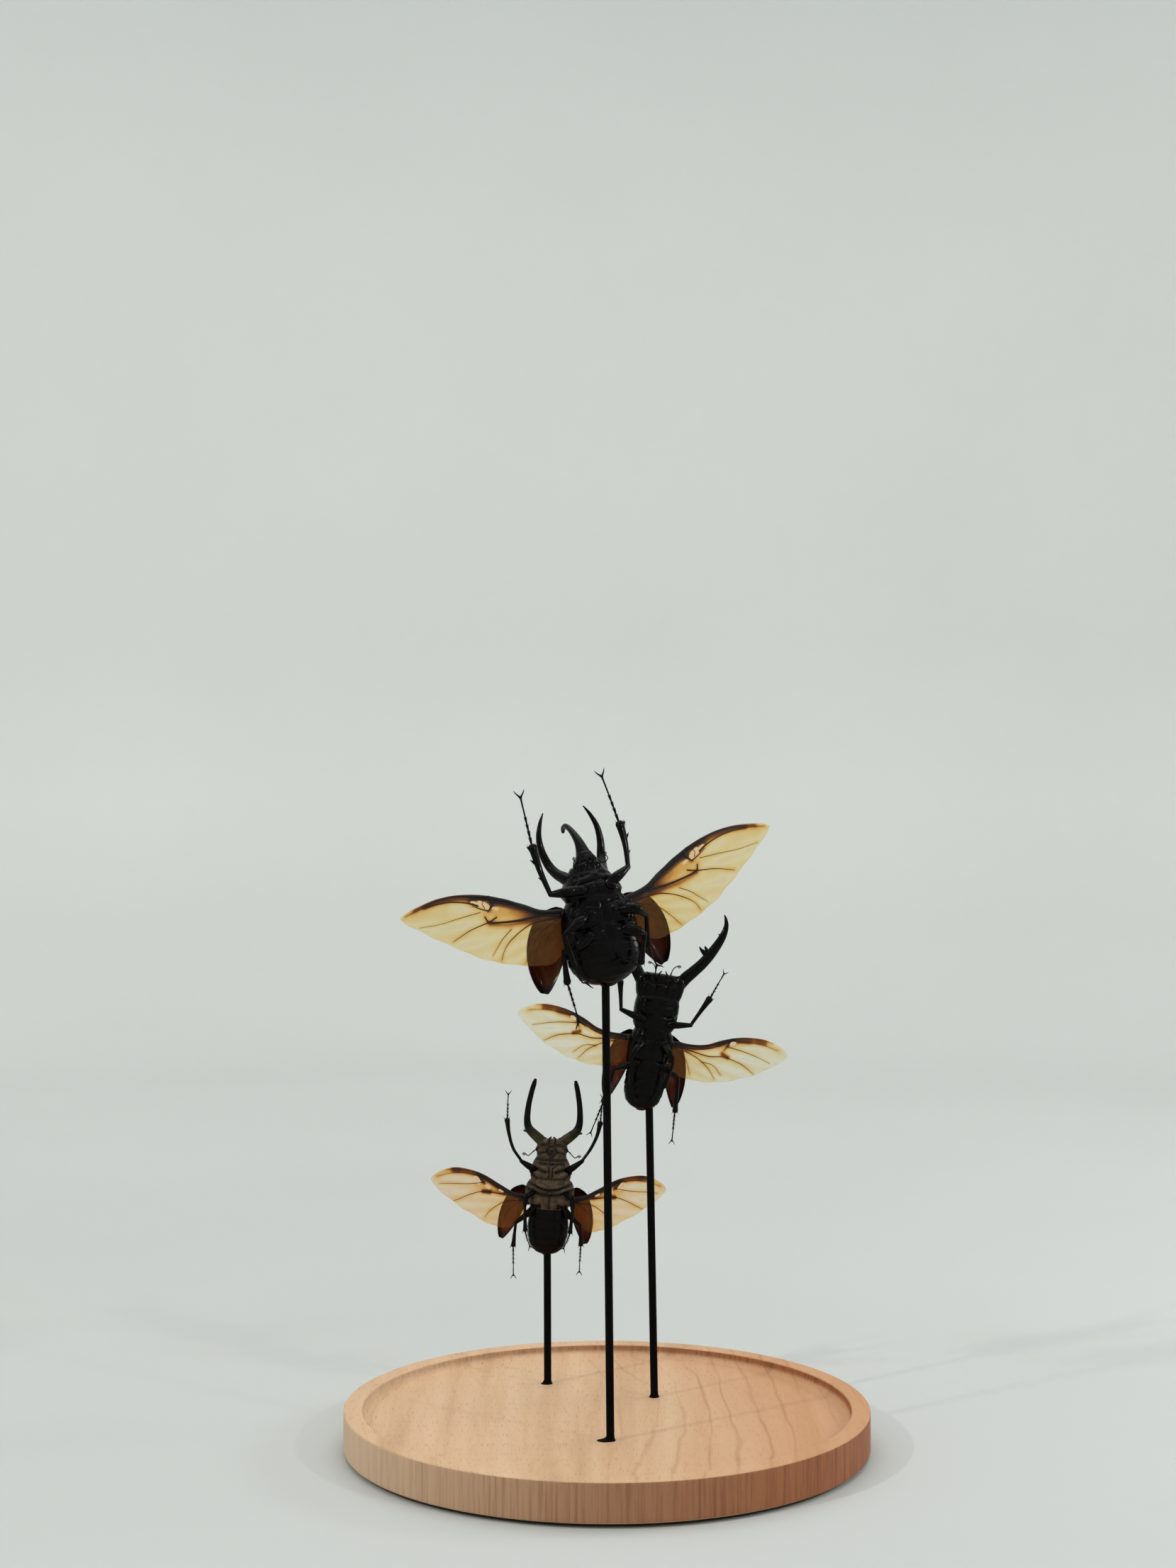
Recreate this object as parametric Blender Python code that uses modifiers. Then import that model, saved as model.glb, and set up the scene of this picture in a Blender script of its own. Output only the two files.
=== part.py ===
"""Three dried beetles in flight pose, each on a thin black rod, over a turned beech tray.

Metres, +Z up, origin at the middle of the underside.  Every length below is written in
millimetres and turned into metres by MM.  A beetle is modelled in its own frame: z runs
from the tip of the abdomen to the head, x to the viewer's right, and -y is its underside,
which faces the viewer.
"""

import math

import bmesh
import bpy
from mathutils import Matrix, Vector

MM = 0.001
GAP = 0.3            # clearance kept between pieces that touch or are glued, mm

# ---------------------------------------------------------------- driving dimensions, mm
TRAY_RADIUS = 125.0
TRAY_BOTTOM = 2.0
TRAY_TOP = 20.0
RIM_WIDTH = 9.0
RECESS_DEPTH = 5.5
COVE_RADIUS = 4.0
EDGE_ROUND = 0.8
TRAY_STEPS = 64

PAD_RADIUS = 121.5
ROD_RADIUS = 1.85
ROD_SIDES = 16
ROD_SINK = 8.0       # how deep a rod stands in the wood
ROD_GRIP = 6.0       # how far a rod reaches into an abdomen

RING_POINTS = 16
ELYTRON_ROWS = 7
ELYTRON_COLUMNS = 4
ELYTRON_THICKNESS = 0.7
WING_THICKNESS = 0.4
WING_DEPTH = 1.5     # where the wing plane lies behind the body's middle plane
ANTENNA_RADIUS = 0.35
WELD = 0.01          # points closer than this are one
SHARP_ANGLE = 40.0   # degrees; a steeper edge is drawn sharp

# a wing case's fullness along its length is part of a half sine wave, flattened on top
FULLNESS_START = 0.12
FULLNESS_SWEEP = 0.86
FULLNESS_POWER = 0.6

# a forked claw, in claw lengths, with its root sunk a little into the foot
CLAW_ROOT = 0.4      # mm
CLAW_REACH = 0.75
CLAW_SPREAD = 0.7
CLAW_TIP_RADIUS = 0.25   # mm

FLOOR_Z = TRAY_TOP - RECESS_DEPTH

# ---------------------------------------------------------------- the three beetles
# anchor: where the abdomen's tip would be on the body axis; lean: towards the viewer's
# right; yaw: turns the viewer's right side away.  A body section is (z, half width, half
# depth, y of its middle).  A limb point is (x, y, z, radius).

ATLAS = {
    "name": "atlas",
    "anchor": (0.8, -43.4, 224.0),
    "lean": -10.3,
    "yaw": 20.0,
    "rod_foot": (1.3, -43.4),
    "rod_top": (-0.9, -43.4, 224.0),
    "squareness": 2.2,
    "chest_finish": "black_cuticle",
    "abdomen": [(0, 4, 3.5, 1), (1.5, 9, 6, 0.5), (5, 14, 8.5, 0), (10, 17.2, 9.5, 0),
                (15, 18, 10, 0), (20.4, 17.6, 10.2, 0)],
    "hind_thorax": [(20.7, 17.6, 10.4, 0), (27, 18, 11, 0), (33, 17, 11, 0),
                    (38, 14.5, 10.4, 0), (40.4, 12.5, 9.4, 0)],
    "prothorax": [(40.7, 13.5, 9.6, 1), (43, 14.4, 11.5, 2), (47, 12.4, 12, 3),
                  (50.5, 10.2, 10.6, 3.5), (53.2, 8, 8.2, 3.5)],
    "head": [(53.5, 7, 6, 1), (56, 6.8, 5.6, 1.2), (58.5, 5, 4.2, 1.6), (60.4, 3, 2.8, 2)],
    "horns_on_prothorax": [
        [(8, 6, 50, 2.8), (11, 12, 53, 2.4), (13.2, 16.4, 58, 2.1), (14.9, 18, 65.5, 1.7),
         (14.2, 19, 74, 1.2), (10.2, 20, 82, 0.35)]],
    "horns_on_head": [
        [(0, 3, 57, 2.6), (0, 4.4, 64, 2.0), (0, 10, 69, 1.6), (0, 17, 73.4, 1.3),
         (0, 22, 74.4, 1.2), (0, 25, 72.8, 0.9)]],
    "mandible": None,
    "antenna": [(4.6, -3, 56), (8, -4, 56.4), (9, -4, 58.2), (7.8, -4, 60)],
    "wing_hinge": (13.7, 37.6),
    "wing_angle": {"left": 7.6, "right": 13.8},
    "wing_span": {"left": 0.96, "right": 1.03},
    "wing": [(0, 0), (12, 0), (21.5, 3.2), (38, 7.7), (52, 8.8), (63, 7.5), (72, 4.6),
             (81, 0), (79, -4), (68.5, -8.3), (56, -14.5), (42.4, -20.5), (31.3, -23.4),
             (20, -25), (9.5, -25), (3, -20.5), (0, -12)],
    "elytron": {"root": (15.5, 38.5), "tip": {"left": (29.6, 1.0), "right": (29.6, 3.4)},
                "outer": 12.6, "inner": 6.5, "taper": 0.1, "depth": 4.5, "vault": 5.0},
    "legs": {
        "front_left": [(-6, -7.5, 45, 2.4), (-15.7, -9, 45.2, 2.0), (-22.2, -6, 45.6, 1.5),
                       (-24.2, -3, 57, 1.5), (-24.9, -1, 67.5, 1.7), (-24.9, 0, 70, 0.7),
                       (-24.5, 5, 91.3, 0.6)],
        "front_right": [(4, -7.5, 45, 2.4), (10, -9, 48, 2.0), (17, -6, 51.1, 1.5),
                        (18.6, -3.5, 61, 1.5), (18.8, -1, 70.6, 1.7), (18.6, 0, 73, 0.7),
                        (16.3, 5, 94.2, 0.6)],
        "mid_left": [(-8, -9, 33, 2.4), (-14, -13.5, 31, 2.0), (-20.8, -11.5, 27, 1.4),
                     (-18.6, -10.2, 12, 1.3), (-18, -9.6, 9.6, 0.7), (-15.2, -7, 3.8, 0.6),
                     (-12.8, -6.4, 3, 0.5)],
        "mid_right": [(8, -9, 33, 2.4), (14.4, -12.8, 32, 2.1), (20.4, -9.4, 28, 1.5),
                      (20.6, -4, 14, 1.3), (21.2, -3, 11, 0.7), (24.6, 0, 3.6, 0.6)],
        "hind_left": [(-7, -9, 24, 2.5), (-13.5, -9.6, 21, 2.0), (-20.4, -4.4, 18.5, 1.5),
                      (-20.2, -1, 5, 1.4), (-19.8, -0.5, 2.6, 0.7), (-17.4, 1, -14.2, 0.6)],
        "hind_right": [(7, -9, 24, 2.5), (13, -12.6, 22, 2.2), (17, -11.4, 20, 1.6),
                       (12.6, -12.8, 8, 1.4), (11, -12.8, 6.6, 0.7), (4, -12.6, 11, 0.6)],
    },
    "claw": 3.6,
}

BLACK_STAG = {
    "name": "black_stag",
    "anchor": (16.8, 32.3, 156.0),
    "lean": 9.0,
    "yaw": 8.0,
    "rod_foot": (23.6, 32.3),
    "rod_top": (21.1, 32.3, 156.0),
    "squareness": 2.6,
    "chest_finish": "black_cuticle",
    "mandible_finish": "black_cuticle",
    "abdomen": [(0, 2.5, 2, 0), (1.4, 5.6, 3.6, 0), (4, 8.2, 5, 0), (9, 9.7, 5.8, 0),
                (14, 9.9, 6, 0), (19.4, 9.7, 6, 0)],
    "hind_thorax": [(19.7, 9.8, 6.2, 0), (24, 10.8, 6.8, 0), (31, 11, 7, 0),
                    (36, 9.6, 6.5, 0), (39.6, 7.6, 5.5, 0)],
    "prothorax": [(39.9, 7.6, 5.2, 0), (42, 10, 6, 0), (47, 10.9, 6.8, 0),
                  (52, 10.8, 6.5, 0), (54.4, 9.5, 5.5, 0)],
    "head": [(54.7, 9.8, 5, 0), (57, 11.6, 5.2, 0), (61, 12.1, 5, 0), (64.5, 11.8, 4.2, 0),
             (66, 10.6, 3.4, 0)],
    "horns_on_prothorax": [],
    "horns_on_head": [],
    "mandible": {
        "blade": [(10.6, 0, 63.5, 3.2), (15, 0.5, 69.8, 3.2), (20, 1, 75.4, 2.9),
                  (24, 1.5, 82, 2.8), (27.4, 2, 89, 2.2), (28.8, 2.3, 94.5, 1.5),
                  (27, 2.5, 99.5, 0.4)],
        "tooth": [(22.6, 1.2, 79.6, 2.2), (19.4, 1.2, 80.6, 1.3), (15.7, 1.2, 82.6, 0.35)],
    },
    "antenna": [(3.8, -3, 64.5), (4, -3.6, 68.4), (5, -3.6, 71), (7, -3.5, 72.4)],
    "wing_hinge": (9.5, 35.6),
    "wing_angle": {"left": 3.4, "right": 0.6},
    "wing_span": {"left": 0.97, "right": 1.01},
    "wing": [(0, 0), (10, -1), (18, -0.2), (25.5, 2.8), (32.5, 4.9), (39, 5.9), (46, 6),
             (52.5, 4.6), (59.5, 0), (55.2, -5.4), (46.5, -10.9), (37, -15), (28, -17.6),
             (19, -18.6), (9, -17.8), (3, -14.5), (0, -8)],
    "elytron": {"root": (9.4, 37.5), "tip": {"left": (16.8, 2.2), "right": (16.8, 2.2)},
                "outer": 7.4, "inner": 4.6, "taper": 0.3, "depth": 4.6, "vault": 3.0},
    "legs": {
        "front_left": [(-5, -5, 44.5, 1.7), (-11, -7.2, 45.5, 1.5), (-18.4, -7, 47.6, 1.2),
                       (-20.5, -5, 60.3, 1.2), (-21.2, -4.6, 63, 0.55), (-23.4, -2, 76, 0.5)],
        "front_right": [(5, -5, 43.6, 1.7), (9.4, -7.2, 43.8, 1.5), (16.9, -7, 44.8, 1.2),
                        (24.4, -5, 58.4, 1.3), (25.4, -4.8, 60.8, 0.55), (30.3, -2, 71.6, 0.5)],
        "mid_left": [(-5, -6, 33, 1.6), (-8.6, -10, 29.5, 1.4), (-10.4, -10.6, 25, 1.1),
                     (-8.4, -9.6, 14, 1.0), (-7.6, -9.2, 12, 0.5), (-4.6, -8, 5, 0.45)],
        "mid_right": [(5, -6, 33, 1.6), (8.6, -10, 29.5, 1.4), (10.4, -10.6, 25, 1.1),
                      (8.4, -9.6, 14, 1.0), (7.6, -9.2, 12, 0.5), (4.6, -8, 5, 0.45)],
        "hind_left": [(-5, -5.6, 23, 1.6), (-10.4, -5.8, 21, 1.5), (-16.6, -3.6, 18, 1.2),
                      (-18.8, -0.6, 1.5, 1.1), (-19.1, -0.2, -0.8, 0.55), (-22.3, 2, -15.2, 0.5)],
        "hind_right": [(5, -5.6, 23, 1.6), (10.2, -5.8, 21, 1.5), (15.4, -3.6, 18, 1.2),
                       (17.1, -0.6, 1.6, 1.1), (17.2, -0.2, -0.8, 0.55), (18.4, 2, -13.6, 0.5)],
    },
    "claw": 2.2,
}

BRONZE_STAG = {
    "name": "bronze_stag",
    "anchor": (-29.8, 57.6, 79.8),
    "lean": 3.0,
    "yaw": 0.0,
    "rod_foot": (-29.2, 57.6),
    "rod_top": (-29.4, 57.6, 80.0),
    "squareness": 2.2,
    "chest_finish": "downy_cuticle",
    "mandible_finish": "bronze_cuticle",
    "abdomen": [(0, 2.5, 2, 0), (1.5, 6, 3.6, 0), (5, 8.9, 5, 0), (11, 10.1, 5.6, 0),
                (17, 10.1, 5.8, 0), (23.4, 9.6, 5.9, 0)],
    "hind_thorax": [(23.7, 9.8, 6, 0), (28, 11.8, 6.6, 0), (32, 12, 6.6, 0),
                    (35.4, 11, 5.8, 0), (36.9, 9.4, 5, 0)],
    "prothorax": [(37.2, 9.3, 5, 0), (39, 10.1, 6, 0), (43, 9.9, 6.2, 0), (46, 8.8, 5.2, 0),
                  (46.9, 7.8, 4.4, 0)],
    "head": [(47.2, 7.3, 4.2, 0), (49.5, 7.2, 4.6, 0), (53, 7.7, 4.4, 0), (55.5, 7.1, 3.6, 0),
             (56.8, 5.4, 2.8, 0)],
    "horns_on_prothorax": [],
    "horns_on_head": [],
    "mandible": {
        "blade": [(3.6, 0, 54.5, 2.4), (7.6, 0, 58.2, 2.4), (11.6, 0.2, 61.4, 2.2),
                  (13.2, 0.5, 66.4, 1.7), (12.8, 0.8, 73.5, 1.45), (11.5, 1, 80.5, 1.2),
                  (10.3, 1, 86.3, 0.6)],
        "tooth": [(11, 0.2, 61.2, 1.6), (13.2, 0.2, 61.4, 1.0), (15, 0.2, 61, 0.35)],
    },
    "antenna": [(6.5, -2.5, 53.5), (9.2, -3, 51.4), (11.6, -3, 49.2), (13.4, -3, 50.2)],
    "wing_hinge": (10.6, 28.6),
    "wing_angle": {"left": 7.3, "right": 8.6},
    "wing_span": {"left": 1.0, "right": 0.97},
    "wing": [(0, 0), (7.5, 0.2), (15, 2.8), (22.5, 5.8), (30, 7.3), (38, 7.2), (45.5, 4.4),
             (50, 0), (45, -5.4), (36, -10.4), (25, -15), (15, -18.2), (7.4, -18),
             (2.4, -14), (0, -8)],
    "elytron": {"root": (12.9, 33.0), "tip": {"left": (23.2, 5.8), "right": (19.0, 5.0)},
                "outer": 6.4, "inner": 4.6, "taper": 0.2, "depth": 4.2, "vault": 2.6},
    "legs": {
        "front_left": [(-7.5, -3.2, 42, 1.6), (-11, -6.2, 44.4, 1.5), (-14.9, -7, 46.8, 1.2),
                       (-19.3, -6, 52.9, 0.9), (-23, -4, 66.3, 1.0), (-23.1, -3.8, 68, 0.5),
                       (-23.3, -2, 79.1, 0.45)],
        "front_right": [(7.5, -3.2, 42, 1.6), (10.8, -6.2, 44.6, 1.5), (15.5, -7, 48.4, 1.2),
                        (19.4, -6, 54.6, 0.9), (23.5, -4, 67.1, 1.0), (23.6, -3.8, 69, 0.5),
                        (24.1, -2, 79.8, 0.45)],
        "mid_left": [(-7.5, -4.6, 31.5, 1.4), (-11.4, -7.8, 29.5, 1.4), (-12, -8.6, 25, 1.2),
                     (-11.2, -8.2, 13, 0.9), (-10.4, -8, 11, 0.5), (-8.4, -7, 4.5, 0.4)],
        "mid_right": [(7.5, -4.6, 31.5, 1.4), (11.4, -7.8, 29.5, 1.4), (12, -8.6, 25, 1.2),
                      (11.2, -8.2, 13, 0.9), (10.4, -8, 11, 0.5), (8.4, -7, 4.5, 0.4)],
        "hind_left": [(-6, -4.6, 25.5, 1.5), (-11, -5, 20, 1.3), (-16.2, -2.6, 15.2, 1.1),
                      (-16.9, 0.4, 3.4, 1.0), (-16.8, 0.6, 1.6, 0.5), (-16.1, 2, -12, 0.45)],
        "hind_right": [(6, -4.6, 25.5, 1.5), (11, -5, 20, 1.3), (16, -2.6, 15.4, 1.1),
                       (16.9, 0.4, 5.4, 1.0), (17, 0.6, 3.6, 0.5), (16.9, 2, -8.6, 0.45)],
    },
    "claw": 2.2,
}

BEETLES = (ATLAS, BLACK_STAG, BRONZE_STAG)
SIDES = {"left": -1, "right": 1}

# material: colour, roughness, metallic
FINISHES = {
    "beech": ((0.62, 0.40, 0.24), 0.55, 0.0),
    "felt": ((0.02, 0.02, 0.02), 0.95, 0.0),
    "rod_black": ((0.012, 0.012, 0.012), 0.5, 0.0),
    "black_cuticle": ((0.012, 0.010, 0.009), 0.3, 0.0),
    "bronze_cuticle": ((0.10, 0.09, 0.045), 0.4, 0.3),
    "downy_cuticle": ((0.12, 0.09, 0.065), 0.7, 0.0),
    "elytron_brown": ((0.10, 0.03, 0.015), 0.35, 0.0),
    "wing_membrane": ((0.72, 0.58, 0.30), 0.35, 0.0),
}


# ---------------------------------------------------------------- helpers
def clear_scene():
    for obj in list(bpy.data.objects):
        bpy.data.objects.remove(obj, do_unlink=True)


def new_collection(name, hidden=False):
    collection = bpy.data.collections.new(name)
    bpy.context.scene.collection.children.link(collection)
    collection.hide_render = hidden
    return collection


def finish_material(name, finish):
    colour, roughness, metallic = FINISHES[finish]
    material = bpy.data.materials.new(name)
    material.use_nodes = True
    shader = material.node_tree.nodes["Principled BSDF"]
    shader.inputs["Base Color"].default_value = (*colour, 1.0)
    shader.inputs["Roughness"].default_value = roughness
    shader.inputs["Metallic"].default_value = metallic
    return material


def add_part(name, mesh, finish, parent=None):
    """Put a mesh into the scene as one named piece with its own material."""
    obj = bpy.data.objects.new(name, mesh)
    PARTS.objects.link(obj)
    obj.parent = parent
    mesh.materials.clear()
    mesh.materials.append(finish_material(name + "_finish", finish))
    mesh.shade_smooth()
    mesh.set_sharp_from_angle(angle=math.radians(SHARP_ANGLE))
    return obj


def add_cutter(name, mesh, parent=None):
    obj = bpy.data.objects.new(name, mesh)
    CUTTERS.objects.link(obj)
    obj.parent = parent
    obj.hide_render = True
    obj.display_type = "WIRE"
    return obj


def boolean(obj, tool, operation):
    modifier = obj.modifiers.new(operation.title(), "BOOLEAN")
    modifier.solver = "EXACT"
    modifier.operation = operation
    modifier.object = tool


def loft(name, sections, squareness, grow=0.0):
    """Closed skin through oval rings, with rounded-square rings above squareness 2."""
    bm = bmesh.new()
    rings = []
    last = len(sections) - 1
    for index, (z, half_width, half_depth, middle) in enumerate(sections):
        if index == 0:
            z -= grow
        if index == last:
            z += grow
        ring = []
        for k in range(RING_POINTS):
            turn = 2 * math.pi * k / RING_POINTS
            across = math.copysign(abs(math.cos(turn)) ** (2 / squareness), math.cos(turn))
            along = math.copysign(abs(math.sin(turn)) ** (2 / squareness), math.sin(turn))
            point = Vector(((half_width + grow) * across,
                            middle + (half_depth + grow) * along, z))
            ring.append(bm.verts.new(point * MM))
        rings.append(ring)
    for low, high in zip(rings, rings[1:]):
        for k in range(RING_POINTS):
            n = (k + 1) % RING_POINTS
            bm.faces.new((low[k], low[n], high[n], high[k]))
    bm.faces.new(reversed(rings[0]))
    bm.faces.new(rings[-1])
    bmesh.ops.recalc_face_normals(bm, faces=bm.faces)
    mesh = bpy.data.meshes.new(name)
    bm.to_mesh(mesh)
    bm.free()
    return mesh


def curve_mesh(name, paths, resolution):
    """Tapered tubes with filled ends, as one mesh; each path lists (x, y, z, radius)."""
    curve = bpy.data.curves.new(name + "_path", "CURVE")
    curve.dimensions = "3D"
    curve.bevel_depth = MM
    curve.bevel_resolution = resolution
    curve.use_fill_caps = True
    for path in paths:
        spline = curve.splines.new("POLY")
        spline.points.add(len(path) - 1)
        for point, (x, y, z, radius) in zip(spline.points, path):
            point.co = (x * MM, y * MM, z * MM, 1.0)
            point.radius = radius
    obj = bpy.data.objects.new(name + "_path", curve)
    bpy.context.scene.collection.objects.link(obj)
    graph = bpy.context.evaluated_depsgraph_get()
    mesh = bpy.data.meshes.new_from_object(obj.evaluated_get(graph))
    bpy.data.objects.remove(obj, do_unlink=True)
    bm = bmesh.new()
    bm.from_mesh(mesh)
    bmesh.ops.remove_doubles(bm, verts=bm.verts, dist=WELD * MM)
    bmesh.ops.recalc_face_normals(bm, faces=bm.faces)
    bm.to_mesh(mesh)
    bm.free()
    mesh.name = name
    return mesh


def flat_sheet(name, outline, depth, thickness):
    """Plate of even thickness from an outline in the x-z plane."""
    bm = bmesh.new()
    face = bm.faces.new([bm.verts.new(Vector((x, depth, z)) * MM) for x, z in outline])
    wall = bmesh.ops.extrude_face_region(bm, geom=[face])
    moved = [item for item in wall["geom"] if isinstance(item, bmesh.types.BMVert)]
    bmesh.ops.translate(bm, verts=moved, vec=(0, thickness * MM, 0))
    bmesh.ops.recalc_face_normals(bm, faces=bm.faces)
    mesh = bpy.data.meshes.new(name)
    bm.to_mesh(mesh)
    bm.free()
    return mesh


def mirrored(points, side):
    return [(point[0] * side, *point[1:]) for point in points]


# ---------------------------------------------------------------- stand
def turned(name, profile, finish):
    """Solid of revolution; the profile runs down the outer side from top to bottom."""
    mesh = bpy.data.meshes.new(name)
    mesh.from_pydata([(r * MM, 0, z * MM) for r, z in profile],
                     [(k, k + 1) for k in range(len(profile) - 1)], [])
    obj = add_part(name, mesh, finish)
    screw = obj.modifiers.new("Turn", "SCREW")
    screw.steps = screw.render_steps = TRAY_STEPS
    screw.use_merge_vertices = True
    screw.merge_threshold = WELD * MM
    screw.use_normal_calculate = False
    return obj


def arc(centre, radius, start, end, steps):
    """Points on an arc, by angle in degrees."""
    points = []
    for k in range(steps + 1):
        turn = math.radians(start + (end - start) * k / steps)
        points.append((centre[0] + radius * math.cos(turn),
                       centre[1] + radius * math.sin(turn)))
    return points


def make_tray():
    """Beech disc with a raised flat rim and a coved recess."""
    inner = TRAY_RADIUS - RIM_WIDTH
    profile = [(0, FLOOR_Z)]
    profile += arc((inner - COVE_RADIUS, FLOOR_Z + COVE_RADIUS), COVE_RADIUS, -90, 0, 2)
    profile += [(inner, TRAY_TOP - EDGE_ROUND), (inner + EDGE_ROUND, TRAY_TOP)]
    profile += arc((TRAY_RADIUS - EDGE_ROUND, TRAY_TOP - EDGE_ROUND), EDGE_ROUND, 90, 0, 1)
    profile += [(TRAY_RADIUS, TRAY_BOTTOM + EDGE_ROUND),
                (TRAY_RADIUS - EDGE_ROUND, TRAY_BOTTOM), (0, TRAY_BOTTOM)]
    return turned("tray", profile, "beech")


def make_pad():
    profile = [(0, TRAY_BOTTOM - GAP), (PAD_RADIUS, TRAY_BOTTOM - GAP), (PAD_RADIUS, 0), (0, 0)]
    return turned("felt_pad", profile, "felt")


def rod_matrix(beetle):
    """Frame at the middle of the rod, with z along it, and the rod's length."""
    foot = Vector((*beetle["rod_foot"], FLOOR_Z)) * MM
    top = Vector(beetle["rod_top"]) * MM
    along = (top - foot).normalized()
    low = foot - along * (ROD_SINK - GAP) * MM
    high = top + along * ROD_GRIP * MM
    turn = along.to_track_quat("Z", "Y").to_matrix().to_4x4()
    return Matrix.Translation((low + high) / 2) @ turn, (high - low).length


def make_rod(beetle):
    place, length = rod_matrix(beetle)
    bm = bmesh.new()
    bmesh.ops.create_cone(bm, cap_ends=True, segments=ROD_SIDES, radius1=ROD_RADIUS * MM,
                          radius2=ROD_RADIUS * MM, depth=length)
    mesh = bpy.data.meshes.new("rod_" + beetle["name"])
    bm.to_mesh(mesh)
    bm.free()
    obj = add_part("rod_" + beetle["name"], mesh, "rod_black")
    obj.matrix_world = place
    return obj


def make_socket(beetle):
    """Cutter for the holes that hold the rod, one gap wider than the rod all round."""
    place, length = rod_matrix(beetle)
    radius = (ROD_RADIUS + GAP) * MM
    bm = bmesh.new()
    bmesh.ops.create_cone(bm, cap_ends=True, segments=ROD_SIDES, radius1=radius,
                          radius2=radius, depth=length + 2 * GAP * MM)
    mesh = bpy.data.meshes.new("socket_" + beetle["name"])
    bm.to_mesh(mesh)
    bm.free()
    obj = add_cutter("socket_" + beetle["name"], mesh)
    obj.matrix_world = place
    return obj


# ---------------------------------------------------------------- beetles
def make_body(beetle, frame, socket):
    """The four hard body pieces, and the grown copies that trim what is joined to them."""
    name = beetle["name"]
    cutters = []
    for piece in ("abdomen", "hind_thorax", "prothorax", "head"):
        sections = beetle[piece]
        mesh = loft(f"{name}_{piece}", sections, beetle["squareness"])
        finish = "black_cuticle" if piece == "abdomen" else beetle["chest_finish"]
        obj = add_part(f"{name}_{piece}", mesh, finish, frame)
        grown = loft(f"{name}_{piece}_room", sections, beetle["squareness"], GAP)
        cutters.append(add_cutter(f"{name}_{piece}_room", grown, frame))
        for horn in beetle.get("horns_on_" + piece, []):
            sides = (1,) if horn[-1][0] == 0 else (-1, 1)
            for side in sides:
                tube = curve_mesh(f"{name}_horn", [mirrored(horn, side)], 2)
                boolean(obj, add_cutter(f"{name}_horn", tube, frame), "UNION")
        if piece == "abdomen":
            boolean(obj, socket, "DIFFERENCE")
    return cutters


def trim(obj, cutters):
    for cutter in cutters:
        boolean(obj, cutter, "DIFFERENCE")


def make_mandible(beetle, side, frame, cutters):
    sign = SIDES[side]
    blade = curve_mesh("blade", [mirrored(beetle["mandible"]["blade"], sign)], 2)
    tooth = curve_mesh("tooth", [mirrored(beetle["mandible"]["tooth"], sign)], 1)
    obj = add_part(f"{beetle['name']}_mandible_{side}", blade, beetle["mandible_finish"], frame)
    boolean(obj, add_cutter(f"{beetle['name']}_tooth_{side}", tooth, frame), "UNION")
    trim(obj, cutters)


def make_antenna(beetle, side, frame, cutters):
    path = [(x, y, z, ANTENNA_RADIUS) for x, y, z in beetle["antenna"]]
    path[-1] = (*path[-1][:3], ANTENNA_RADIUS * 2)
    mesh = curve_mesh("antenna", [mirrored(path, SIDES[side])], 1)
    trim(add_part(f"{beetle['name']}_antenna_{side}", mesh, "black_cuticle", frame), cutters)


def make_leg(beetle, leg, path, frame, cutters):
    """Femur, tibia and foot as one tapered limb that ends in a forked claw."""
    mesh = curve_mesh(leg, [path], 1)
    obj = add_part(f"{beetle['name']}_leg_{leg}", mesh, "black_cuticle", frame)
    x, y, z, radius = path[-1]
    before = Vector(path[-2][:3])
    along = (Vector(path[-1][:3]) - before).normalized()
    across = Vector((along.z, 0, -along.x)).normalized()
    start = Vector((x, y, z)) - along * CLAW_ROOT
    tips = [start + (along * CLAW_REACH + across * turn) * beetle["claw"]
            for turn in (-CLAW_SPREAD, CLAW_SPREAD)]
    fork = [(*tips[0], CLAW_TIP_RADIUS), (*start, radius), (*tips[1], CLAW_TIP_RADIUS)]
    boolean(obj, add_cutter(f"{beetle['name']}_{leg}_claw", curve_mesh("claw", [fork], 1), frame),
            "UNION")
    trim(obj, cutters)


def make_wing(beetle, side, frame, cutters):
    """Hind wing: a stiff spread membrane, hinged beside the hind thorax."""
    hinge_x, hinge_z = beetle["wing_hinge"]
    turn = math.radians(beetle["wing_angle"][side])
    outline = []
    for u, v in beetle["wing"]:
        u *= beetle["wing_span"][side]
        x = hinge_x + u * math.cos(turn) - v * math.sin(turn)
        z = hinge_z + u * math.sin(turn) + v * math.cos(turn)
        outline.append((SIDES[side] * x, z))
    name = f"{beetle['name']}_wing_{side}"
    mesh = flat_sheet(name, outline, WING_DEPTH - WING_THICKNESS / 2, WING_THICKNESS)
    trim(add_part(name, mesh, "wing_membrane", frame), cutters)


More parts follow.
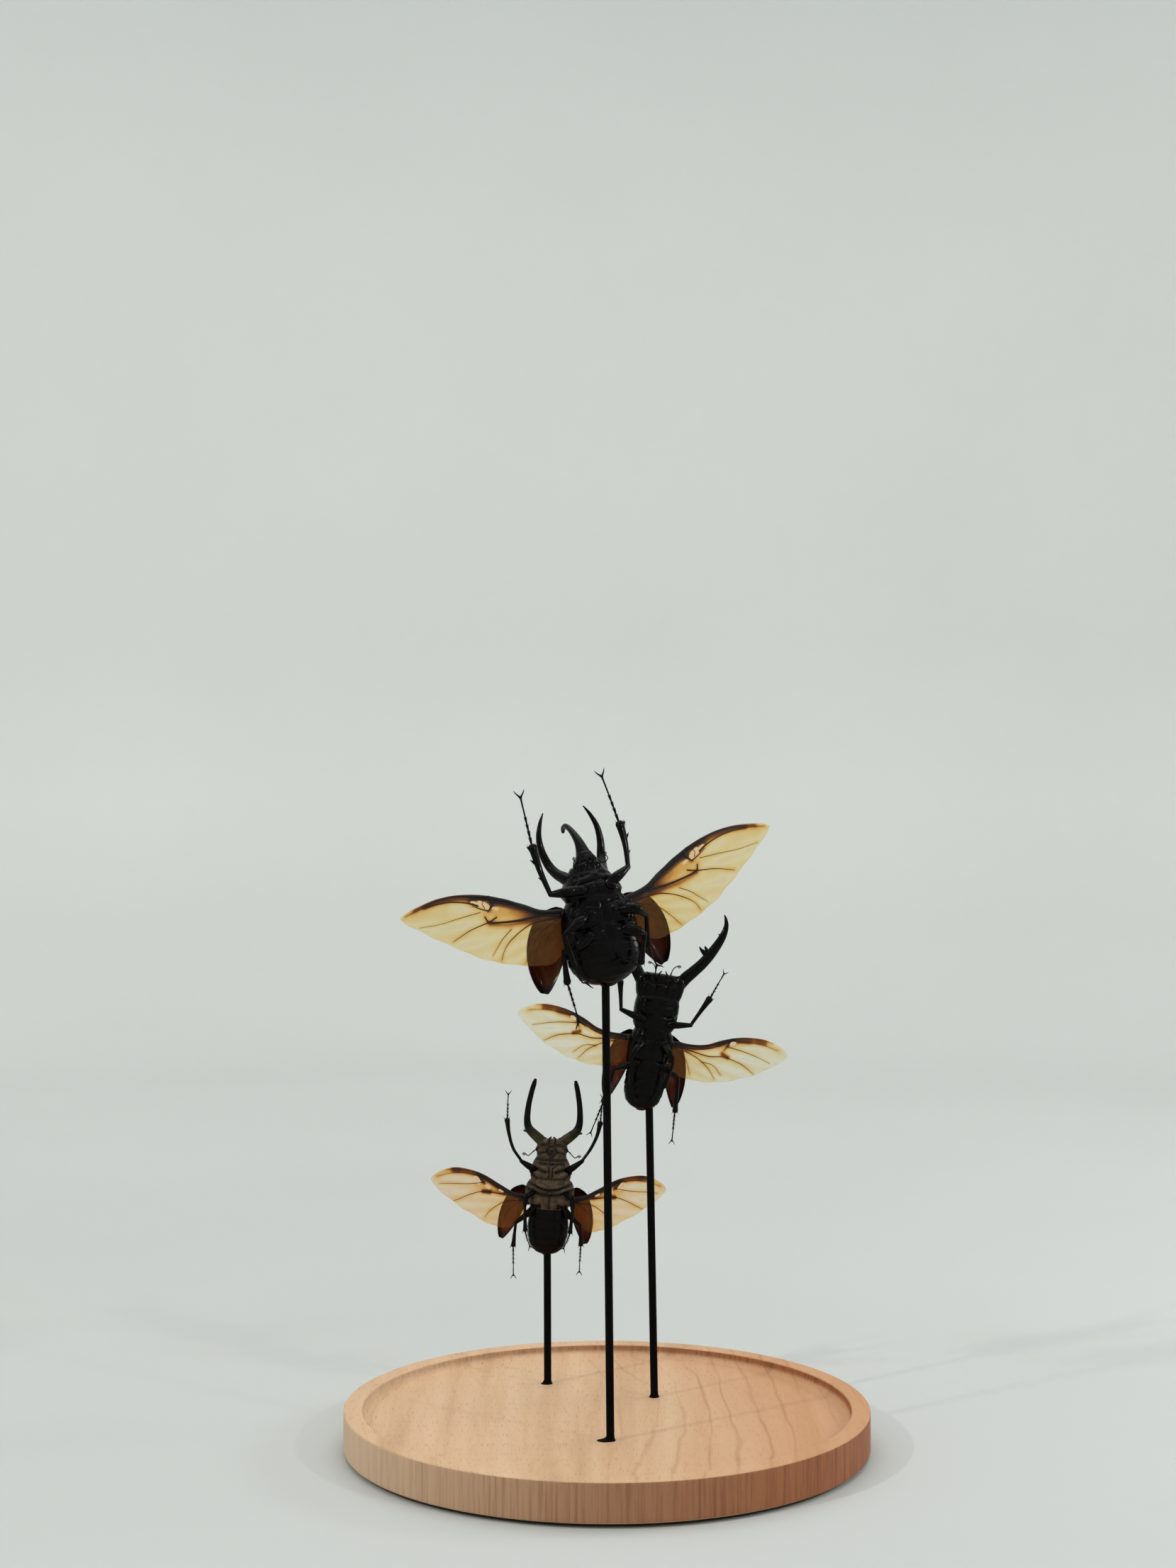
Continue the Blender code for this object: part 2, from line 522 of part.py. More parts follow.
def make_elytron(beetle, side, frame, cutters):
    """Wing case: a thin vaulted shell, raised behind the wing and open to the viewer."""
    shape = beetle["elytron"]
    root = Vector(shape["root"])
    tip = Vector(shape["tip"][side])
    along = (tip - root).normalized()
    out = Vector((-along.y, along.x))
    bm = bmesh.new()
    grid = []
    for row in range(ELYTRON_ROWS + 1):
        u = row / ELYTRON_ROWS
        wave = math.sin(math.pi * (FULLNESS_START + FULLNESS_SWEEP * u))
        fullness = wave ** FULLNESS_POWER
        inside = shape["inner"] * (1 - shape["taper"] * u)
        spine = root.lerp(tip, u)
        line = []
        for column in range(ELYTRON_COLUMNS + 1):
            w = column / ELYTRON_COLUMNS
            offset = fullness * (-inside + w * (inside + shape["outer"]))
            spot = spine + out * offset
            depth = shape["depth"] + shape["vault"] * math.sin(math.pi * w) * fullness
            line.append(bm.verts.new(Vector((SIDES[side] * spot.x, depth, spot.y)) * MM))
        grid.append(line)
    for low, high in zip(grid, grid[1:]):
        for k in range(ELYTRON_COLUMNS):
            bm.faces.new((low[k], low[k + 1], high[k + 1], high[k]))
    bmesh.ops.recalc_face_normals(bm, faces=bm.faces)
    name = f"{beetle['name']}_elytron_{side}"
    mesh = bpy.data.meshes.new(name)
    bm.to_mesh(mesh)
    bm.free()
    obj = add_part(name, mesh, "elytron_brown", frame)
    shell = obj.modifiers.new("Thickness", "SOLIDIFY")
    shell.thickness = ELYTRON_THICKNESS * MM
    shell.offset = 0.0
    trim(obj, cutters)


def make_beetle(beetle, tray):
    """One beetle on its rod."""
    frame = bpy.data.objects.new(beetle["name"] + "_frame", None)
    PARTS.objects.link(frame)
    frame.matrix_world = (Matrix.Translation(Vector(beetle["anchor"]) * MM)
                          @ Matrix.Rotation(math.radians(beetle["lean"]), 4, "Y")
                          @ Matrix.Rotation(math.radians(beetle["yaw"]), 4, "Z"))
    make_rod(beetle)
    socket = make_socket(beetle)
    boolean(tray, socket, "DIFFERENCE")
    cutters = make_body(beetle, frame, socket)
    for side in SIDES:
        if beetle["mandible"]:
            make_mandible(beetle, side, frame, cutters[-1:])
        make_antenna(beetle, side, frame, cutters[-1:])
        make_wing(beetle, side, frame, cutters[:2])
        make_elytron(beetle, side, frame, cutters[:3])
    for leg, path in beetle["legs"].items():
        trimmers = cutters[2:3] if leg.startswith("front") else cutters[:2]
        make_leg(beetle, leg, path, frame, trimmers)


clear_scene()
PARTS = new_collection("mounted_beetle_trio")
CUTTERS = new_collection("cutters", hidden=True)
TRAY = make_tray()
make_pad()
for BEETLE in BEETLES:
    make_beetle(BEETLE, TRAY)
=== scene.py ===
"""Looks of the mounted beetle trio: three dried beetles in flight pose on rods over a beech tray.

Every shape is built in millimetres and turned into metres by MM.  A beetle is built in its
own frame: z from the abdomen's tip to the head, x to the viewer's right, -y is its underside,
which faces the viewer.  That frame is found again on the CAD abdomen, so the looks follow it.
"""

import math

import bmesh
import bpy
import numpy as np
from mathutils import Euler, Matrix, Vector


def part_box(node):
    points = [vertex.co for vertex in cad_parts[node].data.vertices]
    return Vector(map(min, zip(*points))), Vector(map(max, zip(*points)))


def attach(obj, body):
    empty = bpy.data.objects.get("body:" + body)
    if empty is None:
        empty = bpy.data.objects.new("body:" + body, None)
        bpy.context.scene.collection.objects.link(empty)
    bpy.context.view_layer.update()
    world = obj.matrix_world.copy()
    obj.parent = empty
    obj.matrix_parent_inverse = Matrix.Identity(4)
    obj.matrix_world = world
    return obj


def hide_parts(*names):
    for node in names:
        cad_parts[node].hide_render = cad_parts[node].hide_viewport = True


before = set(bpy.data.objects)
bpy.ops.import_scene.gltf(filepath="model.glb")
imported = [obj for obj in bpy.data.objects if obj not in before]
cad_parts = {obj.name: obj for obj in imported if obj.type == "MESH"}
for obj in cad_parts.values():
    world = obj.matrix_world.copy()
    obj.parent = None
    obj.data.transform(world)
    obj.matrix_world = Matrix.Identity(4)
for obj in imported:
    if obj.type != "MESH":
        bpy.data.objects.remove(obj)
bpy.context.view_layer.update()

MM = 0.001
RANDOM = np.random.default_rng(7)
SIDES = {"left": -1, "right": 1}
DEPTH_AXIS = (0.0, 1.0, 0.0)
CAP_ANGLES = (30, 60, 80)
HAIR_ANGLES = np.radians((0, 120, 240))

# ---------------------------------------------------------------- stand, mm
RIM_WIDTH = 9.0
RECESS_DEPTH = 5.5
COVE_RADIUS = 4.0
EDGE_ROUND = 0.8
TURNED_STEPS = 288
AXIS_GAP = 0.5
PAD_EDGE = 0.5
ROD_SINK_SHOWN = 3.0
GLUE_STEPS = 48
GLUE_HEIGHT = 2.2
GLUE_WIDTH = 0.45
GLUE_LIFT = 0.05
TREE_RING_RATE = 430.0
TREE_RING_SHARPNESS = 14.0

# ---------------------------------------------------------------- studio
# The backdrop is in mm; the camera stands in front of the tray, in metres, and looks level.
BACKDROP_FLAT = 1450.0
BACKDROP_BEND = 500.0
BACKDROP_TOP = 2100.0
BACKDROP_STEPS = 96
CAMERA_PLACE = (-0.00897, -1.1056, 0.3155)
CAMERA_LENS = 53.2
CAMERA_FILM_HEIGHT = 36.0

# ---------------------------------------------------------------- all beetles, mm
BODY_PIECES = ("abdomen", "hind_thorax", "prothorax", "head")
BLUNT_ENDS = {"abdomen": (1.0, 0.3), "head": (0.3, 0.8)}
DOWN_COUNT = 2200
DOWN_LENGTH = 0.6
DOWN_WIDTH = 0.07
CLUB_LEAF = ((-0.15, 0.14), (0.45, 0.22), (0.95, 0.20), (1.3, 0.1))
COXA_WIDTH = {"front": 1.9, "mid": 1.6, "hind": 2.5}
SPINE_STEPS = ((0.2, 0.75), (0.75, 0.55), (1.15, 0.3), (1.5, 0.08))
SPUR_TURNS = (-0.7, 0.1, 0.8)
TOE_CUTS = (0, 0.15, 0.29, 0.43, 0.57, 1.0)
TOE_THORN = ((0, 0.14), (0.5, 0.1), (0.95, 0.03))
CLAW_HOOK = ((-0.12, 0.02, 0.5), (0.14, 0.17, 0.42), (0.42, 0.40, 0.32), (0.70, 0.58, 0.22),
             (0.94, 0.68, 0.06))
LEG_HAIRS = 26
LEG_HAIR_WIDTH = 0.05
WING_DEPTH = 1.5
WING_ROWS, WING_COLUMNS = 50, 150
MEMBRANE_CAMBER = 1.1
PLEAT_HEIGHT = 0.22
PLEAT_COUNT = 46.0
FILM_HALF = 0.05
HINGE_KNOBS = ((1.0, -1.6, 2.0), (-0.6, -3.6, 1.7), (3.4, -3.0, 1.2), (5.6, -1.2, 1.0))
ATLAS_HINGE_X = 13.7
ELYTRON_ROWS, ELYTRON_COLUMNS = 72, 36
ELYTRON_HALF = 0.28
ELYTRON_RIM = 0.18

# ---------------------------------------------------------------- one beetle, mm
# A body section is (z, half width, half depth, y of its middle).  A groove is a line of
# (|x|, z) on a body piece, its depth and its width.  A limb point is (x, y, z, radius).
# A wing point is (u along the span, v towards the head), from the hinge.  A vein is a line with
# its radius at each end, a stain a line with its width and strength, a pale patch one with its width.


def both(pair, *limb):
    """A pair of legs, given the right one's thigh, shin and foot."""
    left = tuple([(-x, y, z, radius) for x, y, z, radius in part] for part in limb)
    return {pair + "_left": left, pair + "_right": limb}


ATLAS = {
    "name": "atlas", "lean": -10.3, "yaw": 20.0, "squareness": 2.2,
    "chest": "black_cuticle", "jaw": None, "film": (1.0, 0.865, 0.54), "shell": 0.72,
    "glue": 4.0, "flank": 0.2,
    "abdomen": [(0, 4, 3.5, 1), (1.5, 9, 6, 0.5), (5, 14, 8.5, 0), (10, 17.2, 9.5, 0),
                (15, 18, 10, 0), (20.6, 17.6, 10.2, 0)],
    "hind_thorax": [(20.4, 17.6, 10.4, 0), (27, 18, 11, 0), (33, 17, 11, 0),
                    (38, 14.5, 10.4, 0), (40.8, 12.5, 9.4, 0)],
    "prothorax": [(40.4, 13.5, 9.6, 1), (43, 14.4, 11.5, 2), (47, 12.4, 12, 3),
                  (50.5, 10.2, 10.6, 3.5), (53.2, 8, 8.2, 3.5)],
    "head": [(53.0, 7.2, 6, 1), (56, 6.2, 5.4, 1.2), (58.5, 4.8, 4.4, 1.6), (61, 3.4, 3.4, 2.4)],
    "plates": [0.4, 3.4, 7.0, 10.6, 14.2, 17.6, 20.6],
    "plate_step": 0.4,
    "grooves": {
        "hind_thorax": [([(0, 20), (0, 38)], 0.9, 0.8), ([(2, 29), (9, 26.5), (17, 27.5)], 0.9, 0.6),
                        ([(13, 27), (14.4, 33), (11, 40)], 0.8, 0.6),
                        ([(3, 36.6), (8, 37.8), (12, 36)], 0.7, 0.6)],
        "prothorax": [([(0, 41), (1.4, 46), (0, 50)], 0.8, 0.7), ([(2, 48), (7, 47.4), (12, 44)], 0.9, 0.7),
                      ([(3, 51.2), (8.6, 50)], 0.7, 0.6)],
        "head": [([(0, 54), (0, 58)], 0.5, 0.6), ([(3.4, 54), (2.2, 59)], 0.5, 0.5),
                 ([(0, 57.4), (6, 56.6)], 0.5, 0.5)],
    },
    "horns": {
        "prothorax": [
            [(7.2, 4, 48, 3.6), (9.4, 8.4, 51, 2.9), (11.4, 12.8, 53.6, 2.4), (13.2, 16.4, 58, 2.1),
             (14.7, 17.9, 64.5, 1.75), (14.6, 18.8, 71.5, 1.35), (12.6, 19.5, 77.6, 0.9),
             (10.2, 20, 82, 0.3)]],
        "head": [
            [(0, 2, 54, 5.6), (0, 2.8, 58.4, 4.4), (0, 4, 62, 3.1), (0, 6.4, 66, 2.2),
             (0, 10.6, 69.6, 1.7), (0, 16, 72.8, 1.35), (0, 21, 74.3, 1.25), (0, 24.4, 73.4, 1.2),
             (0, 25.8, 71.8, 0.8)]],
    },
    "eye": (5.9, 0.4, 55.6, 1.5),
    "palps": [[(1.2, -4.2, 56.6, 0.5), (1.8, -4.4, 58.4, 0.45), (1.4, -3.8, 59.8, 0.35)]],
    "antenna": [(4.6, -3, 55.4), (7.4, -4.4, 55.6), (8.4, -4.8, 57.2), (7.4, -4.6, 58.8)],
    "wing_hinge": (ATLAS_HINGE_X, 37.6),
    "wing_angle": {"left": 7.6, "right": 13.8},
    "wing_span": {"left": 0.96, "right": 1.03},
    "wing_front": [(0, 0), (12, 0), (21.5, 3.2), (38, 7.7), (52, 8.8), (63, 7.5), (72, 4.6),
                   (78, 1.8), (81, -0.6)],
    "wing_back": [(0, -12), (3, -20.5), (9.5, -25), (20, -25), (31.3, -23.4), (42.4, -20.5), (56, -14.5),
                  (68.5, -8.3), (78, -3.2), (81, -0.6)],
    "veins": [
        ([(0, -1), (12, -0.8), (21.5, 2.2), (30, 5.2), (38, 6.9)], 0.95, 0.6),
        ([(38, 7.2), (52, 8.2), (62, 7.0), (69, 4.9), (74, 3.1)], 0.62, 0.08),
        ([(3, -1.9), (13, -1.2), (22, 1.6), (31, 3.9), (36.5, 4.9)], 0.55, 0.3),
        ([(43.6, 3.4), (47, 4.6), (53, 5.5), (60, 5.5), (70, 3.7), (78.5, 0.4)], 0.42, 0.1),
        ([(36.5, 5.8), (36.6, 3.8), (38.2, 1.2)], 0.62, 0.3),
        ([(38.6, 1.0), (42.4, 2.0), (46.2, 3.6)], 0.34, 0.16),
        ([(38.4, 6.2), (43, 6.6), (46.6, 6.6)], 0.3, 0.16),
        ([(40.2, 2.2), (41.4, 4.2), (40.6, 5.6)], 0.2, 0.12),
        ([(2, -3), (12, -2.5), (23, -4.1), (33, -4.6), (38.4, -4.2), (40.2, -1.8)], 0.62, 0.34),
        ([(34.6, -2.2), (38.4, -4.2), (42, -5.4), (48, -7.6), (56, -12)], 0.36, 0.12),
        ([(42.5, 0.4), (52, -1.6), (62, -3.9), (72, -5)], 0.16, 0.07),
        ([(4, -4), (15, -5.4), (22, -8.4), (28, -13), (31.6, -17.4), (33, -21.6)], 0.32, 0.1),
        ([(27.6, -8), (32, -12), (34.6, -15.6), (37.4, -19.4)], 0.18, 0.08),
        ([(5, -5), (14, -11), (18.6, -18), (21.6, -24)], 0.22, 0.09),
        ([(4, -6), (10, -13), (13, -20), (14.6, -24.6)], 0.18, 0.08),
    ],
    "stains": [([(38, -5.4), (27.5, -6), (14, -4)], 1.3, 0.26),
               ([(41, 6.4), (52, 6.9), (62, 6.2), (69, 4.2)], 1.2, 0.34),
               ([(6, -0.8), (22, 2.2), (36, 5.9)], 1.6, 0.62), ([(8, -3), (22, -1), (35, 1.6)], 3.2, 0.25),
               ([(37, 4.6), (47, 5.6)], 2.2, 0.22),
               ([(60, 4), (74, 1)], 3.4, 0.08)],
    "pale_patch": [([(39.0, 2.6), (40.4, 3.8), (42.6, 4.6)], 1.15), ([(44.8, 4.8), (46.2, 5.0)], 0.7),
                   ([(34.2, 1.5), (36.0, 1.9)], 0.55)],
    "elytron": {"root": (15.5, 38.5), "tip": {"left": (29.6, 1.0), "right": (29.6, 3.4)},
                "outer": 12.6, "inner": 6.5, "depth": 4.5, "vault": 5.0, "ribs": 0.10, "taper": 0.1},
    "legs": {
        "front_left": ([(-6, -7.5, 45, 2.4), (-15.7, -9, 45.2, 2.2), (-22.2, -6, 45.6, 1.6)],
                       [(-22.4, -5.8, 46, 1.3), (-24.2, -3, 57, 1.5), (-24.9, -1, 67.5, 1.9)],
                       [(-24.9, 0, 68.6, 0.8), (-24.7, 2.4, 80, 0.7), (-24.5, 5, 91.3, 0.6)]),
        "front_right": ([(4, -7.5, 45, 2.4), (10, -9, 48, 2.2), (17, -6, 51.1, 1.6)],
                        [(17.1, -5.8, 51.4, 1.3), (18.6, -3.5, 61, 1.5), (18.8, -1, 70.6, 1.9)],
                        [(18.7, 0, 71.8, 0.8), (17.6, 2.4, 83, 0.7), (16.3, 5, 94.2, 0.6)]),
        "mid_left": ([(-8, -9, 33, 2.4), (-14, -13.5, 31, 2.1), (-20.8, -11.5, 27, 1.4)],
                     [(-20.8, -11.4, 26.6, 1.1), (-19.6, -10.8, 19, 1.2), (-18.6, -10.2, 12, 1.5)],
                     [(-18.4, -9.9, 11.2, 0.7), (-17.2, -8.8, 7.6, 0.6), (-15.2, -7, 3.8, 0.6),
                      (-12.8, -6.4, 3, 0.5)]),
        "mid_right": ([(8, -9, 33, 2.4), (14.4, -12.8, 32, 2.2), (20.4, -9.4, 28, 1.5)],
                      [(20.4, -9.2, 27.6, 1.2), (20.5, -6.6, 21, 1.2), (20.6, -4, 14, 1.5)],
                      [(20.7, -3.8, 13, 0.7), (22.6, -2, 7.6, 0.6), (24.6, 0, 3.6, 0.6)]),
        "hind_left": ([(-7, -9, 24, 2.5), (-13.5, -9.6, 21, 2.2), (-20.4, -4.4, 18.5, 1.5)],
                      [(-20.4, -4.2, 18, 1.2), (-20.4, -2.6, 11.5, 1.3), (-20.2, -1, 5, 1.6)],
                      [(-20.1, -0.9, 4, 0.7), (-18.6, 0.2, -5.6, 0.6), (-17.4, 1, -14.2, 0.55)]),
        "hind_right": ([(7, -9, 24, 2.5), (13, -12.6, 22, 2.3), (17, -11.4, 20, 1.6)],
                       [(17, -11.5, 19.6, 1.2), (14.8, -12.2, 14, 1.3), (12.6, -12.8, 8, 1.5)],
                       [(12.2, -12.8, 7.4, 0.7), (9.4, -12.9, 7.2, 0.6), (4, -12.6, 11, 0.6)]),
    },
    "teeth": {"front": [(0.34, 1.8, 1), (0.66, 2.7, 1), (0.95, 2.4, 1), (0.90, 1.7, -1)],
              "mid": [(0.55, 1.0, 1)], "hind": [(0.50, 1.1, 1)]},
    "claw": 3.8, "edge": 2.4,
}

BLACK_STAG = {
    "name": "black_stag", "lean": 9.0, "yaw": 8.0, "squareness": 2.6,
    "chest": "black_cuticle", "jaw": "black_cuticle", "film": (1.0, 0.96, 0.80), "shell": 1.05,
    "glue": 0.4, "flank": 0.2,
    "abdomen": [(0, 2.5, 2, 0), (1.4, 5.6, 3.6, 0), (4, 8.2, 5, 0), (9, 9.7, 5.8, 0),
                (14, 9.9, 6, 0), (19.6, 9.7, 6, 0)],
    "hind_thorax": [(19.4, 9.8, 6.2, 0), (24, 10.8, 6.8, 0), (31, 11, 7, 0),
                    (36, 10.4, 6.6, 0), (39.8, 8.8, 5.9, 0)],
    "prothorax": [(39.6, 9.2, 5.6, 0), (42, 10.5, 6.3, 0), (47, 11, 6.8, 0),
                  (52, 11, 6.6, 0), (54.8, 10.5, 5.9, 0)],
    "head": [(54.4, 10.3, 5.2, 0), (56.6, 11.3, 5.3, 0), (60.4, 12, 5, 0), (63.8, 12.2, 4.4, 0),
             (66, 11.4, 3.6, 0)],
    "plates": [0.3, 3.4, 7.2, 11.2, 15.2, 19.6],
    "plate_step": 0.26,
    "grooves": {
        "hind_thorax": [([(0, 19), (0, 37)], 0.6, 0.6), ([(1.6, 25), (6, 24), (10.6, 25.4)], 0.6, 0.45),
                        ([(7.4, 25), (8.4, 31), (6.4, 39)], 0.6, 0.45),
                        ([(2, 34.8), (7, 35.6)], 0.5, 0.45)],
        "prothorax": [([(0, 40), (1.1, 45), (0.9, 50), (0, 54)], 0.6, 0.5),
                      ([(2, 47.2), (6, 46.6), (10.6, 47.6)], 0.7, 0.5), ([(8.4, 48), (8, 54)], 0.5, 0.5),
                      ([(2, 51.4), (7, 52)], 0.4, 0.5)],
        "head": [([(3.2, 55), (2.4, 60), (4.4, 65)], 0.6, 0.5), ([(0, 62.6), (5, 62), (9, 64)], 0.6, 0.5),
                 ([(8.4, 56), (9.2, 60), (8.2, 63.4)], 0.5, 0.5)],
    },
    "horns": {},
    "eye": (11.2, -0.6, 62.4, 1.5),
    "palps": [[(1.6, -3.2, 65, 0.42), (1.9, -3.8, 67.2, 0.38), (1.1, -3.8, 68.6, 0.28)],
              [(6.4, -2.4, 65, 0.36), (6.9, -3, 66.6, 0.3), (8, -3, 67.3, 0.24)]],
    "mandible": {
        "blade": [(9.6, 0, 62.4, 2.7), (12, 0.3, 66.4, 2.9), (15.4, 0.5, 70.2, 2.7), (20, 1, 75.6, 2.5),
                  (24, 1.5, 82, 2.3), (27.4, 2, 89, 1.8), (28.6, 2.3, 94.5, 1.2), (28, 2.5, 98, 0.75),
                  (27, 2.5, 100, 0.3)],
        "teeth": [[(22.8, 1.2, 79, 2.0), (20.2, 1.2, 80, 1.5), (18.0, 1.2, 81.4, 0.8),
                   (16.8, 1.2, 82.8, 0.25)],
                  [(21.8, 1.3, 80.6, 1.2), (20.0, 1.3, 82.6, 0.7), (19.4, 1.3, 83.6, 0.2)],
                  [(26.8, 2.1, 89.6, 0.8), (25.4, 2.1, 90.4, 0.2)]],
    },
    "antenna": [(3.8, -3, 64.5), (4, -3.6, 68.4), (5, -3.6, 71), (7, -3.5, 72.4)],
    "wing_hinge": (9.5, 35.6),
    "wing_angle": {"left": 3.4, "right": 0.6},
    "wing_span": {"left": 0.97, "right": 1.01},
    "wing_front": [(0, 0), (10, -1), (18, -0.2), (25.5, 2.8), (32.5, 4.9), (39, 5.9), (46, 6),
                   (52.5, 4.6), (57.6, 1.8), (59.6, -0.8)],
    "wing_back": [(0, -8), (3, -14.5), (9, -17.8), (19, -18.6), (28, -17.6), (37, -15), (46.5, -10.9),
                  (54.6, -5.6), (58.6, -2.6), (59.6, -0.8)],
    "veins": [
        ([(0, -0.8), (10, -1.6), (18, -0.9), (25.5, 2.1), (31, 4.3)], 0.6, 0.36),
        ([(31, 4.2), (38, 5.4), (46, 5.5), (51, 4.5)], 0.2, 0.05),
        ([(2, -2), (11, -3.2), (19, -2.2), (25, 0.2), (29.4, 3.2)], 0.34, 0.2),
        ([(30.4, 3.6), (28.8, 0.4), (27.4, -2)], 0.36, 0.2),
        ([(29, 0), (36, -1.1), (43.2, -2.8), (51, -5.4)], 0.2, 0.08),
        ([(3, -3), (11, -4.2), (20, -5.8), (27.6, -5.2), (35, -7), (38.4, -8.4), (43.4, -11.6)], 0.3, 0.1),
        ([(8, -4.6), (15, -7.6), (20.6, -11.6), (24.4, -16.4)], 0.22, 0.09),
        ([(17, -8.9), (23, -10), (27.6, -14.4)], 0.16, 0.07),
        ([(5, -5), (9.4, -9.4), (12, -15.6)], 0.18, 0.07),
        ([(31.6, 3.2), (39, 3.4), (46, 3.2), (54, 1.4)], 0.18, 0.07),
    ],
    "stains": [([(31, 3.9), (39, 4.6), (47, 4.4)], 1.7, 0.34),
               ([(44, 4.4), (50, 3.4), (55, 1.4)], 1.8, 0.13),
               ([(2, -1.2), (16, -1.6), (29, 3.2)], 0.9, 0.4), ([(26.6, -3.8), (29.6, -5.0)], 1.2, 0.45),
               ([(25, 0.6), (33, 2.6), (39, 3.4)], 1.9, 0.24)],
    "pale_patch": [([(30.4, 1.8), (32.0, 2.4)], 0.75)],
    "elytron": {"root": (9.4, 37.5), "tip": {"left": (16.8, 2.2), "right": (16.8, 2.2)},
                "outer": 7.4, "inner": 4.6, "depth": 4.6, "vault": 3.0, "ribs": 0.08, "taper": 0.3},
    "legs": {
        "front_left": ([(-5, -5, 44.5, 1.7), (-11, -7.2, 45.5, 1.6), (-18.4, -7, 47.6, 1.25)],
                       [(-18.5, -6.9, 48, 0.95), (-19.5, -6, 54, 1.05), (-20.5, -5, 60.3, 1.45)],
                       [(-20.6, -4.9, 61, 0.6), (-22, -3.4, 68.6, 0.5), (-23.4, -2, 76, 0.45)]),
        "front_right": ([(5, -5, 43.6, 1.7), (9.4, -7.2, 43.8, 1.6), (16.9, -7, 44.8, 1.25)],
                        [(17.1, -6.9, 45.2, 0.95), (20.6, -6, 51.6, 1.05), (24.4, -5, 58.4, 1.5)],
                        [(24.7, -4.9, 59, 0.6), (27.6, -3.4, 65.6, 0.5), (30.3, -2, 71.6, 0.45)]),
        **both("mid", [(5, -6, 33, 1.6), (8.6, -10, 29.5, 1.5), (10.4, -10.6, 25, 1.1)],
               [(10.4, -10.6, 24.6, 0.85), (9.4, -10.1, 19.4, 0.95), (8.4, -9.6, 14, 1.15)],
               [(8.3, -9.5, 13.4, 0.5), (6.4, -8.8, 9, 0.45), (4.6, -8, 5, 0.42)]),
        "hind_left": ([(-5, -5.6, 23, 1.6), (-10.4, -5.8, 21, 1.6), (-16.6, -3.6, 18, 1.2)],
                      [(-16.7, -3.4, 17.6, 0.9), (-17.8, -2, 9.6, 1.0), (-18.8, -0.6, 1.5, 1.25)],
                      [(-18.9, -0.4, 0.8, 0.55), (-20.6, 0.9, -7.4, 0.5), (-22.3, 2, -15.2, 0.45)]),
        "hind_right": ([(5, -5.6, 23, 1.6), (10.2, -5.8, 21, 1.6), (15.4, -3.6, 18, 1.2)],
                       [(15.5, -3.4, 17.6, 0.9), (16.4, -2, 9.6, 1.0), (17.1, -0.6, 1.6, 1.25)],
                       [(17.1, -0.4, 0.8, 0.55), (17.8, 0.9, -6.4, 0.5), (18.4, 2, -13.6, 0.45)]),
    },
    "teeth": {"front": [(0.32, 0.5, 1), (0.5, 0.6, 1), (0.66, 0.7, 1), (0.82, 0.8, 1), (0.96, 1.3, 1)],
              "mid": [(0.55, 0.6, 1)], "hind": [(0.6, 0.6, 1)]},
    "claw": 2.3, "edge": 0.7,
}

